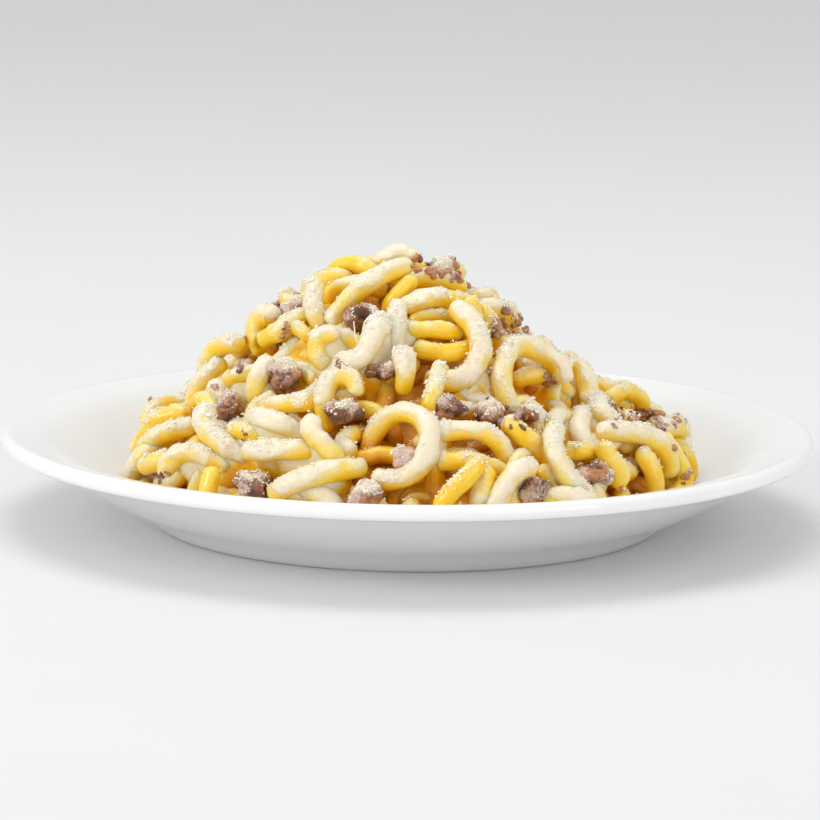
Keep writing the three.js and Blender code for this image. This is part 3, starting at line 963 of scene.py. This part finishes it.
def add_packed(look):
    """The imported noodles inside: the skin drawn in by a depth, with broad bumps."""
    outline = SKIN[::4].copy()
    inward = unit(np.gradient(outline, axis=0))[:, ::-1] * np.array([-1, 1])
    outline = outline + PACKED_DEPTH * inward
    foot = 9
    outline = outline[(outline[:, 0] > 2) & (outline[:, 1] > foot)]
    outline = np.vstack([[0, foot], [40, foot], [64, 9.2], outline, [0, outline[:, 1].max() + 0.5]])
    points, faces = turned(outline, PACKED_SIDES)
    points[:, 0] += lean(points[:, 2])
    way = unit(points - np.array([0, 0, 20]))
    points = points + way * (1.6 * noise(points, 9, 8))[:, None] * (points[:, 2:] > 12)
    faces = [part[:, ::-1] for part in faces]
    piece = add_piece("noodles_packed", points, faces, packed_pasta(look), "pasta")
    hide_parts("pasta_heap")


# ---- the sauce ----


def with_patches(values, points, patches, gain=1):
    """Values raised by a bell curve round each patch, by what the patch adds times a gain."""
    for (_, _, wide, more), middle in zip(*hand_placed(patches)):
        values = values + gain * more * np.exp(-((points - middle) ** 2).sum(-1) / wide ** 2)
    return values


def thick_sauce(points):
    """Where the sauce is thick: 1 in broad patches of the heap and 0 elsewhere."""
    total = noise(points, 15, 20) + 0.5 * noise(points, 6, 21)
    return ease(with_patches(total, points, SHOWN_PATCHES), 0.0, 0.4)


def add_pool(finish):
    """A thin pool of sauce round the foot of the heap.

    It is a flat ring on the plate, whose outer edge waves by noise. Its height falls off towards
    that edge as the root of one less the cube of the way out, and waves as well.
    """
    turn = full_turn(POOL_GRID[1])
    ring = 40 * np.stack([np.cos(turn), np.sin(turn), np.zeros(len(turn))], -1)
    share = np.linspace(0, 1, POOL_GRID[0])[:, None]
    inner, outer = POOL_REACH
    edge = outer + 3 * noise(ring, 14, 9) + 1.2 * noise(ring, 4, 10)
    reach = inner + (edge - inner) * share
    place = np.stack([reach * np.cos(turn) + 3, reach * np.sin(turn), np.zeros_like(reach)], -1)
    bottom = plate_surface(place) + 0.08
    top = bottom + 1.2 * np.sqrt(np.clip(1 - share ** 3, 0, 1)) * (1 + 0.4 * noise(place, 7, 11))
    upper = np.concatenate([place[..., :2], top[..., None]], -1)
    lower = np.concatenate([place[..., :2], bottom[..., None]], -1)
    loop = np.concatenate([upper[:-1], lower[:0:-1], lower[:1]], 0)
    rows, sides = loop.shape[:2]
    row, side = np.meshgrid(np.arange(rows), np.arange(sides), indexing="ij")
    beside = (side + 1) % sides
    below = ((row + 1) % rows) * sides
    quads = np.stack([row * sides + side, below + side, below + beside, row * sides + beside], -1)
    # the pool gets no painted crease shade
    piece = add_piece("sauce_pool", loop.reshape(-1, 3), [quads.reshape(-1, 4)], finish, "sauce",
                      crease=np.zeros(loop.shape[:2]))
    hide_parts("pasta_heap")


def noodle_height(base, out, outline):
    """The noodles' height over the skin, found by rays and smoothed over a few millimetres.

    Round the heap, each wave is weakened by how short it is. Up the heap, each row is blended
    with the two beside it, four times.
    """
    rows, sides = base.shape[:2]
    away = 14
    starts, ways = (base + away * out).reshape(-1, 3), -out.reshape(-1, 3)
    places, _, met = dropped(food_tree("noodles"), starts, ways)
    height = np.full(len(starts), -9.0)
    height[met] = away - np.linalg.norm(places - starts[met], axis=1)
    height = np.clip(height, -7, 7).reshape(rows, sides)
    wave = np.fft.rfft(height, axis=1)
    wave = wave * np.exp(-0.5 * (np.arange(wave.shape[1]) * 1.9 / outline[:, :1]) ** 2)
    height = np.fft.irfft(wave, sides, axis=1)
    for _ in range(4):
        padded = np.concatenate([height[:1], height, height[-1:]])
        height = 0.25 * padded[:-2] + 0.5 * padded[1:-1] + 0.25 * padded[2:]
    return height


def add_film(finish):
    """Cream between the noodles: a mound that rises near their smoothed height in some places.

    The mound is the skin moved out by a level. Where the sauce is thick the level is a little
    under the noodles, so only the creases fill up, and elsewhere it lies deep inside.
    """
    rows, sides = FILM_GRID
    place = np.linspace(0, SKIN_ALONG[-1] - 1.5, rows)
    outline = np.stack([np.interp(place, SKIN_ALONG, SKIN[:, axis]) for axis in (0, 1)], -1)
    turn = full_turn(sides)
    base = np.stack([outline[:, :1] * np.cos(turn) + lean(outline[:, 1:]), outline[:, :1] * np.sin(turn),
                     np.repeat(outline[:, 1:], sides, axis=1)], -1)
    _, out = skin_gap(base)
    level = noodle_height(base, out, outline) - 1.4
    level = level + 1.2 * noise(base, 5, 11) + 0.3 * noise(base, 1.8, 12)
    level = with_patches(level, base, [row for row in SHOWN_PATCHES if row[3] > 0.8], 1.2)
    thick = thick_sauce(base) * ease(base[..., 2], 13, 24)
    level = -FILM_DEPTH + (level + FILM_DEPTH) * thick
    film = (base + level[..., None] * out).reshape(-1, 3)
    foot = 8.5
    film[:, 2] = np.maximum(film[:, 2], foot + 0.1)
    points = np.vstack([[LEAN_AT_BASE, 0, foot], film, [LEAN_AT_PEAK, 0, film[-sides:, 2].mean()]])
    # painted shade for the film: the deeper it lies inside the skin, the more yellow and amber
    gap, _ = skin_gap(points)
    piece = add_piece("sauce_between", points, tube_faces(1, rows, sides), finish, "sauce",
                      crease=ease(-gap, 1.5, 7))
    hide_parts("pasta_heap")


# ---- the sausage ----


def lump_ovals():
    """The middle and half sizes of each sausage node, in millimetres."""
    corners = np.array([[list(corner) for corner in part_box(name)] for name in LUMP_NODES]) / MM
    return corners.mean(axis=1), (corners[:, 1] - corners[:, 0]) / 2


def ball_grid(rings, sides):
    """Unit directions of a ball's pole, rings and pole, upper pole first."""
    rise = np.linspace(90, -90, rings + 2)[1:-1]
    turn = np.linspace(0, 360, sides, endpoint=False)
    rise, turn = np.meshgrid(rise, turn, indexing="ij")
    return np.vstack([[0, 0, 1], heading(-turn.ravel(), rise.ravel()), [0, 0, -1]])


def lump_points(middle, half, seed, rings, sides, grains, grain_size):
    """One crumbled lump of minced meat: balls grown together, covered in small rounded grains.

    Seen from the middle, each way ends at the far side of the outermost of a few overlapping balls.
    There the point moves out by the tallest grain over it, a low half ball, and by fine noise.
    Where no grain stands, the point lies in a hollow, and the returned hollow value paints shade there.
    """
    pick = np.random.default_rng(seed)
    way = ball_grid(rings, sides)
    lobes = unit(pick.normal(size=(8, 3))) * pick.uniform(0.3, 0.56, (8, 1))
    lobe_size = pick.uniform(0.4, 0.56, 8)
    facing = way @ lobes.T
    inside = facing ** 2 - (lobes ** 2).sum(-1) + lobe_size ** 2
    reach = np.where(inside > 0, facing + np.sqrt(np.clip(inside, 0, None)), 0.3).max(axis=1)
    surface = way * half * np.clip(reach, 0.45, 1)[:, None]
    centres = surface[pick.integers(0, len(way), grains)] * 0.97
    wide = pick.uniform(0.6, 1.25, grains) * grain_size
    near = np.linalg.norm(surface[:, None] - centres, axis=-1) / wide
    height = (np.sqrt(np.clip(1 - near ** 2, 0, 1)) * wide * 0.6).max(axis=1)
    hollow = ease(0.42 * grain_size - height, 0, 0.4 * grain_size)
    rough = (0.2 * noise(surface + seed * 9.1, 0.9, 6)
             + 0.22 * half.mean() * noise(surface + seed * 5.3, 0.45 * half.mean(), 5))
    return middle + surface * 1.04 + way * (height + rough)[:, None], hollow


def film_on(points, middle):
    """The cream film on a lump: thicker on top and outside, broken up by noise."""
    way = unit(points - middle)
    _, out = skin_gap(points)
    cover = 0.35 * way[:, 2] + 0.2 * (way * out).sum(-1) + 0.9 * noise(points, 4.5, 15) + 0.12
    return ease(cover, -0.3, 0.9)


def crumb_rays(spread_count, pick):
    """Where the crumbs' rays start and lead, and the lengths of the hand-placed crumbs.

    A few crumbs gather about each listed row, and their rays leave the camera. The others
    come down onto the heap from outside.
    """
    rows = np.repeat(np.array(SHOWN_CRUMBS, float), CRUMBS_TOGETHER, axis=0)
    rows = rows + pick.normal(0, 0.24, (len(rows), 3)) * rows[:, 2:] * np.array([1, 1, 0])
    rows[:, 2] *= pick.uniform(0.2, 0.5, len(rows))
    front = np.stack([rows[:, 0], np.zeros(len(rows)), rows[:, 1]], -1)
    azimuth = pick.uniform(60, 300, spread_count)
    height = 14 + 58 * pick.random(spread_count) ** 1.3
    spread = round_heap(azimuth, height, skin_radius(height))
    _, out = skin_gap(spread)
    ways = np.vstack([unit(front - VIEWPOINT), -unit(0.8 * out + np.array([0, 0, 0.5]))])
    aims = np.vstack([front, spread])
    away = np.where(np.arange(len(aims)) < len(front), 150, 25)[:, None]
    return aims - away * ways, ways, rows[:, 2]


def add_crumbs(look, finish):
    """Crumbs dropped on the heap: listed ones in front, the others spread round it."""
    pick = np.random.default_rng(5)
    starts, ways, long = crumb_rays(look.crumbs, pick)
    places, normals, met = dropped(food_tree("noodles", "meat"), starts, ways)
    long = np.concatenate([long, pick.uniform(1.6, 3.6, look.crumbs)])[met]
    wide = pick.uniform([0.5, 0.3, 0.25], [0.8, 0.5, 0.4], (len(long), 3)) * long[:, None]
    shapes, hollow = map(np.array, zip(*[
        lump_points(np.zeros(3), half, 100 + index, *CRUMB_GRID, CRUMB_GRAINS, 0.42 * half.mean())
        for index, half in enumerate(wide)
    ]))
    points = placed(shapes, places - 0.04 * long[:, None] * normals, unit(normals + [0, 0, 0.3]),
                    pick.uniform(0, 2 * np.pi, len(long)))
    sauce = 0.8 * ease(noise(points, 4, 16), -0.5, 0.6)
    crisp = np.repeat(pick.uniform(0.1, 1.2, len(long)), points.shape[1])
    # the crumbs' hollows get painted shade at about a third of the strength
    piece = add_piece("meat_crumbs", points.reshape(-1, 3), tube_faces(len(long), *CRUMB_GRID), finish,
                      "sausage", sauce=sauce, crisp=crisp, hollow=0.35 * hollow)
    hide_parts(*LUMP_NODES)


# ---- the cheese ----


def grain_aims(look, pick):
    """Where grains are aimed: in clumps, and loosely about them.

    The clumps lie along a golden spiral over the heap, on the lumps of sausage and in the
    listed heaps. The grains of a clump scatter about its middle as a bell curve does.
    """
    climb, azimuth = golden_spiral(look.clumps, 20, pick)
    height = 16 + 58 * climb ** 0.9
    aim = round_heap(azimuth, height, skin_radius(height))
    middles, _ = lump_ovals()
    aim = np.vstack([aim, np.repeat(middles, 3, axis=0) + pick.normal(0, 3.0, (3 * len(middles), 3))])
    number = (look.grains * pick.gamma(0.8, 1.0, len(aim))).astype(int)
    rows, heaps = hand_placed(SHOWN_CHEESE)
    aim = np.vstack([aim, heaps])
    number = np.concatenate([number, (look.grains * rows[:, 2]).astype(int)])
    owner = np.repeat(np.arange(len(aim)), number)
    spread = pick.uniform(0.6, 2.3, len(aim))[owner, None]
    aims = aim[owner] + spread * pick.normal(size=(len(owner), 3))
    loose = pick.integers(0, len(aims), LOOSE_GRAINS)
    return np.vstack([aims, aims[loose] + pick.normal(0, 7, (LOOSE_GRAINS, 3))])


def grain_points(places, normals, size, pick):
    """The six corners of each grain: a small double pyramid, uneven and flattened, laid down
    with some tilt and lifted a little where the grains heap up."""
    long = size * pick.gamma(7, 1 / 7, len(places))
    wide = pick.uniform(0.5, 0.9, (len(places), 1, 2))
    corner = np.array([[-1, 0, 0], [0.1, 1, 0.2], [-0.1, 0, 1], [0.2, -1, 0.1], [0, 0.1, -1], [1, 0, 0]])
    shapes = corner * np.concatenate([np.ones((len(places), 1, 1)), wide], -1) * [1, 1, 0.75]
    shapes = 0.5 * long[:, None, None] * (shapes + pick.uniform(-0.18, 0.18, (len(places), 6, 3)))
    tilt = unit(normals + 0.35 * pick.normal(size=normals.shape))
    heap = ease(noise(places, 1.6, 18), -0.2, 0.9)[:, None]
    lift = pick.uniform(0.0, 0.3, (len(places), 1)) * (long[:, None] + 1.4 * heap)
    return placed(shapes, places + lift * normals, tilt, pick.uniform(0, 2 * np.pi, len(places)))


def dust(places):
    """Stores at each point of the food how thickly the grains lie about it, and swells it there.

    The grains are counted in cells of one millimetre, and the counts are smoothed three times.
    """
    low = places.min(axis=0) - 6
    size = np.ceil(places.max(axis=0) + 6 - low).astype(int)
    cells = np.zeros(size)
    np.add.at(cells, tuple((places - low).astype(int).T), 1.0)
    for _ in range(3):
        for axis in range(3):
            cells = 0.5 * cells + 0.25 * (np.roll(cells, 1, axis) + np.roll(cells, -1, axis))
    for piece in bpy.context.scene.objects:
        if not piece.name.startswith(("noodles_shown", "noodles_outer", "meat", "sauce_between")):
            continue
        points = rows_of(piece.data.vertices, "co") / MM
        cell = np.clip((points - low).astype(int), 0, size - 1)
        near = ease(cells[tuple(cell.T)], 0.1, 0.9)
        layer = piece.data.attributes.new("cheese", "FLOAT", "POINT")
        layer.data.foreach_set("value", near.astype(np.float32))
        swell = 0.25 * near * (1 + 0.8 * noise(points, 1.3, 23))
        points = points + swell[:, None] * rows_of(piece.data.vertices, "normal")
        piece.data.vertices.foreach_set("co", (points * MM).ravel())
        piece.data.update()


def add_threads(finish):
    """Threads of melted cheese that hang from the upper lump of sausage."""
    rows, middle = hand_placed(SHOWN_THREADS)
    level = np.zeros(len(rows))
    middle = middle + rows[:, 2:3] * heading(rows[:, 0], level)
    bends, dips = np.array([[12, 20]] * len(rows)), np.array([[0, 1]] * len(rows))
    lines = noodle_lines(middle, rows[:, 0], level, rows[:, 3], rows[:, 4], bends, dips)
    points, _, _, poles = swept(lines, rows[:, 5], *THREAD_GRID)
    points = with_poles(points, poles)
    points = points + 0.2 * noise(points, 1.8, 22)[..., None]
    piece = add_piece("cheese_threads", points.reshape(-1, 3), tube_faces(len(rows), *THREAD_GRID),
                      finish, "cheese")
    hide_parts("pasta_heap")


# ---- the stage ----


def add_light(name, power, size, place):
    """A square soft light that faces the heap."""
    light = bpy.data.lights.new(name, "AREA")
    light.energy = power
    light.size = size
    lamp = bpy.data.objects.new(name, light)
    lamp.location = place
    aim = Vector((0, 0, 0.03)) - Vector(place)
    lamp.rotation_euler = aim.to_track_quat("-Z", "Y").to_euler()
    bpy.context.scene.collection.objects.link(lamp)


def add_camera(context, look):
    """A long lens from the front, a little above, turned clockwise by under a degree."""
    view = bpy.data.cameras.new("camera")
    view.lens = look.lens
    view.sensor_width = 36
    view.clip_end = 20
    view.shift_x, view.shift_y = CAMERA_SHIFT
    camera = bpy.data.objects.new("camera", view)
    aim = Vector((0, 0, CAMERA_AIM * MM))
    back = Vector((0, -math.cos(look.rise), math.sin(look.rise)))
    turn = (-back).to_track_quat("-Z", "Y").to_matrix().to_4x4()
    camera.matrix_world = (Matrix.Translation(aim + look.distance * back) @ turn
                           @ Matrix.Rotation(math.radians(CAMERA_TURN), 4, "Z"))
    context.scene.collection.objects.link(camera)
    context.scene.camera = camera


# ---- settings ----


def a_colour(name, description, default):
    """A colour that can be set."""
    return FloatVectorProperty(name=name, description=description, subtype="COLOR", size=3,
                               default=default, min=0, max=1)


def a_length(name, description, default):
    """A length that can be set, in millimetres of a 240 mm plate."""
    return FloatProperty(name=name, description=description, unit="LENGTH", subtype="DISTANCE",
                         default=default * MM)


def a_power(name, description, default):
    """A light's power that can be set, in watts."""
    return FloatProperty(name=name, description=description, unit="POWER", default=default)


class PastaPlateSettings(bpy.types.PropertyGroup):
    """The roundness and colour of the plate."""

    sides: IntProperty(name="Sides", description="Faces round the plate", default=192, min=24)
    glaze: a_colour("Glaze", "Colour of the glaze", (0.9, 0.9, 0.89))


class PastaNoodleSettings(bpy.types.PropertyGroup):
    """Sizes, numbers and colours of the noodles and their sauce."""

    radius: a_length("Radius", "Half of a noodle's thickness", 2.75)
    outer: IntProperty(name="Outer noodles", description="Curls in the outer layer", default=205)
    inner: IntProperty(name="Inner noodles", description="Curls in the layer below it", default=125)
    seed: IntProperty(name="Seed", description="Picks the spread noodles", default=7)
    yellow: a_colour("Yellow", "Bare egg pasta", (0.95, 0.63, 0.025))
    deep_yellow: a_colour("Deep yellow", "Bare pasta at its richest", (0.95, 0.56, 0.004))
    pale_yellow: a_colour("Pale yellow", "Pasta under thin sauce", (0.94, 0.71, 0.17))
    # painted shade: amber and brown stand for the shade in the creases between the noodles
    amber: a_colour("Amber", "Pasta in creases", (0.88, 0.41, 0.004))
    brown: a_colour("Brown", "Pasta in the deepest creases", (0.55, 0.19, 0.005))
    cream: a_colour("Cream", "Cream sauce", (0.87, 0.775, 0.59))


class PastaSausageSettings(bpy.types.PropertyGroup):
    """Grain and colours of the sausage."""

    grain: a_length("Grain", "Radius of a grain of the mince", 1.5)
    crumbs: IntProperty(name="Crumbs", description="Small crumbs spread over the heap", default=60)
    meat: a_colour("Meat", "Fried meat", (0.37, 0.165, 0.09))
    dark_meat: a_colour("Dark meat", "Meat in its hollows", (0.16, 0.055, 0.025))
    crisp: a_colour("Crisp bits", "Browned crisp bits", (0.56, 0.25, 0.1))
    film: a_colour("Film", "Cream film on the meat", (0.74, 0.58, 0.49))


class PastaCheeseSettings(bpy.types.PropertyGroup):
    """Number, size and colours of the grated cheese."""

    clumps: IntProperty(name="Clumps", description="Places where cheese has gathered", default=340)
    grains: IntProperty(name="Grains", description="Grains in a clump", default=56)
    length: a_length("Length", "Length of a grain", 0.74)
    pale: a_colour("Pale", "Lighter grains", (1.0, 0.97, 0.89))
    warm: a_colour("Warm", "Warmer grains", (0.97, 0.88, 0.68))


class PastaStageSettings(bpy.types.PropertyGroup):
    """The floor, the lights and the camera."""

    floor: a_colour("Floor", "Colour of the floor", (0.8, 0.8, 0.79))
    key: a_power("Key light", "Power of the large soft light", 22)
    fill: a_power("Fill light", "Power of the weaker light", 8)
    top: a_power("Top light", "Power of the light above", 5.3)
    sky: FloatProperty(name="Surrounding light", description="Strength of the even light", default=0.74)
    distance: a_length("Distance", "Camera to the plate's middle", 1200)
    rise: FloatProperty(name="Rise", description="How far the camera looks down", unit="ROTATION",
                        subtype="ANGLE", default=math.radians(10.7))
    lens: FloatProperty(name="Lens", description="Focal length of the camera", unit="CAMERA", default=177.7)


# ---- operators ----


class PASTA_OT_plate(bpy.types.Operator):
    """Adds the glazed plate, turned from its half section"""

    bl_idname = "pasta.plate"
    bl_label = "Plate"

    def execute(self, context):
        """Turns the plate's half section round the upright axis."""
        look = context.scene.pasta_plate
        points, faces = turned(plate_profile(), look.sides)
        piece = add_piece("dinner_plate", points, faces, glazed_china(look), "glaze")
        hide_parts("plate")
        return {"FINISHED"}


class PASTA_OT_noodles(bpy.types.Operator):
    """Adds the settled noodles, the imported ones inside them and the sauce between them"""

    bl_idname = "pasta.noodles"
    bl_label = "Noodles and sauce"

    def execute(self, context):
        """Settles all centre lines together, and sweeps each layer of noodles along them."""
        look = context.scene.pasta_noodles
        radius = look.radius / MM
        shown, extra = shown_lines()
        outer = spread_lines(look.outer, *OUTER_LAYER, look.seed)
        inner = spread_lines(look.inner, *INNER_LAYER, look.seed + 1)
        outer = clear_of(outer, shown, radius)
        lines = np.concatenate([shown, outer, inner])
        give = np.concatenate([np.full(len(shown), SHOWN_GIVE), np.ones(len(outer) + len(inner))])
        lines = settled(lines, give, 2 * radius * SQUEEZE)
        pick = np.random.default_rng(look.seed + 2)
        more = np.concatenate([extra, pick.uniform(-0.3, 0.3, len(outer)), np.full(len(inner), -0.4)])
        girth = radius * (pick.uniform(0.96, 1.08, len(lines)) + 0.22 * more)
        finish = sauced_noodle(look)
        start = 0
        for (name, grid), count in zip(NOODLE_GRIDS.items(), (len(shown), len(outer), len(inner))):
            part = slice(start, start + count)
            start += count
            points, faces, (sauce, crease) = noodle_mesh(lines[part], girth[part], more[part], *grid)
            piece = add_piece(name, points, faces, finish, "pasta", sauce=sauce, crease=crease)
            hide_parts("pasta_heap")
        add_packed(look)
        add_pool(cream(look, "thin_cream", 0.0))
        add_film(cream(look, "cream_sauce", 0.5))
        return {"FINISHED"}


class PASTA_OT_sausage(bpy.types.Operator):
    """Adds a grained lump in place of each sausage node, and small crumbs over the heap"""

    bl_idname = "pasta.sausage"
    bl_label = "Sausage"

    def execute(self, context):
        """Grains a lump in each node's oval, then drops the crumbs."""
        look = context.scene.pasta_sausage
        finish = crumbled_sausage(look)
        grain = look.grain / MM
        for index, (name, middle, half) in enumerate(zip(LUMP_NODES, *lump_ovals())):
            points, hollow = lump_points(middle, half, index, *LUMP_GRID, LUMP_GRAINS, grain)
            sauce = film_on(points, middle)
            crisp = 0.36 + 0.6 * noise(points, 5, 19)
            # the hollow value paints shade in the lump's hollows
            piece = add_piece(f"meat_{name[-2:]}", points, tube_faces(1, *LUMP_GRID), finish, "sausage",
                              sauce=sauce, crisp=crisp, hollow=hollow)
            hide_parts(name)
        add_crumbs(look, finish)
        return {"FINISHED"}


class PASTA_OT_cheese(bpy.types.Operator):
    """Adds fine grated cheese, dropped in clumps on whatever lies uppermost"""

    bl_idname = "pasta.cheese"
    bl_label = "Grated cheese"

    def execute(self, context):
        """Drops grains from 30 mm off their aims, and keeps those that land level enough."""
        look = context.scene.pasta_cheese
        pick = np.random.default_rng(11)
        aims = grain_aims(look, pick)
        ways = unit(np.array([0, 0, -1]) + 0.16 * pick.normal(size=aims.shape))
        places, normals, _ = dropped(food_tree("noodles", "meat", "sauce"), aims - 30 * ways, ways)
        gap, _ = skin_gap(places)
        keep = (gap > -7) & (normals[:, 2] > 0.25 + 0.2 * noise(places, 2, 17))
        points = grain_points(places[keep], normals[keep], look.length / MM, pick)
        side = np.arange(4)
        faces = np.vstack([np.stack([0 * side, 1 + (side + 1) % 4, 1 + side], -1),
                           np.stack([0 * side + 5, 1 + side, 1 + (side + 1) % 4], -1)])
        faces = (faces + 6 * np.arange(len(points))[:, None, None]).reshape(-1, 3)
        dust(places[keep])
        finish = grated_cheese(look)
        piece = add_piece("cheese_grains", points.reshape(-1, 3), [faces], finish, "cheese", flat=True)
        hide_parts("pasta_heap")
        add_threads(finish)
        return {"FINISHED"}


class PASTA_OT_stage(bpy.types.Operator):
    """Adds the pale floor, the soft lights and the camera"""

    bl_idname = "pasta.stage"
    bl_label = "Stage"

    def execute(self, context):
        """Lays the floor, then sets up the lights, the sky and the camera."""
        look = context.scene.pasta_stage
        mesh = bpy.data.meshes.new("floor")
        mesh.from_pydata([(-3, -3, 0), (3, -3, 0), (3, 3, 0), (-3, 3, 0)], [], [(0, 1, 2, 3)])
        mesh.materials.append(pale_floor(look))
        floor = bpy.data.objects.new("floor", mesh)
        context.scene.collection.objects.link(floor)
        add_light("key", look.key, 0.9, (-2.2, -1.2, 1.0))
        add_light("fill", look.fill, 1.2, (1.2, -1.6, 0.5))
        add_light("top", look.top, 0.8, (-0.1, 0.1, 1.3))
        world = bpy.data.worlds.new("studio")
        world.use_nodes = True
        sky = world.node_tree.nodes["Background"]
        sky.inputs["Color"].default_value = (0.97, 0.985, 1.0, 1)
        sky.inputs["Strength"].default_value = look.sky
        context.scene.world = world
        context.scene.view_settings.view_transform = "Standard"
        add_camera(context, look)
        return {"FINISHED"}


class PASTA_PT_panel(bpy.types.Panel):
    """Lists the steps that build the plate of pasta"""

    bl_idname = "PASTA_PT_panel"
    bl_label = "Plate of Pasta"
    bl_space_type = "VIEW_3D"
    bl_region_type = "UI"
    bl_category = "Pasta"

    def draw(self, context):
        """Draws a button for each step."""
        for step in STEPS:
            self.layout.operator(step.bl_idname)


STEPS = [PASTA_OT_plate, PASTA_OT_noodles, PASTA_OT_sausage, PASTA_OT_cheese, PASTA_OT_stage]
SETTINGS = {
    "pasta_plate": PastaPlateSettings,
    "pasta_noodles": PastaNoodleSettings,
    "pasta_sausage": PastaSausageSettings,
    "pasta_cheese": PastaCheeseSettings,
    "pasta_stage": PastaStageSettings,
}
CLASSES = [*SETTINGS.values(), *STEPS, PASTA_PT_panel]


def register():
    """Registers every class and hangs the settings on the scene."""
    for item in CLASSES:
        bpy.utils.register_class(item)
    for key, settings in SETTINGS.items():
        setattr(bpy.types.Scene, key, PointerProperty(type=settings))


def unregister():
    """Takes the settings off the scene and unregisters every class."""
    for key in SETTINGS:
        delattr(bpy.types.Scene, key)
    for item in reversed(CLASSES):
        bpy.utils.unregister_class(item)


def main():
    """Builds the whole plate of pasta."""
    register()
    bpy.ops.pasta.plate()
    bpy.ops.pasta.noodles()
    bpy.ops.pasta.sausage()
    bpy.ops.pasta.cheese()
    bpy.ops.pasta.stage()


if __name__ == "__main__":
    main()
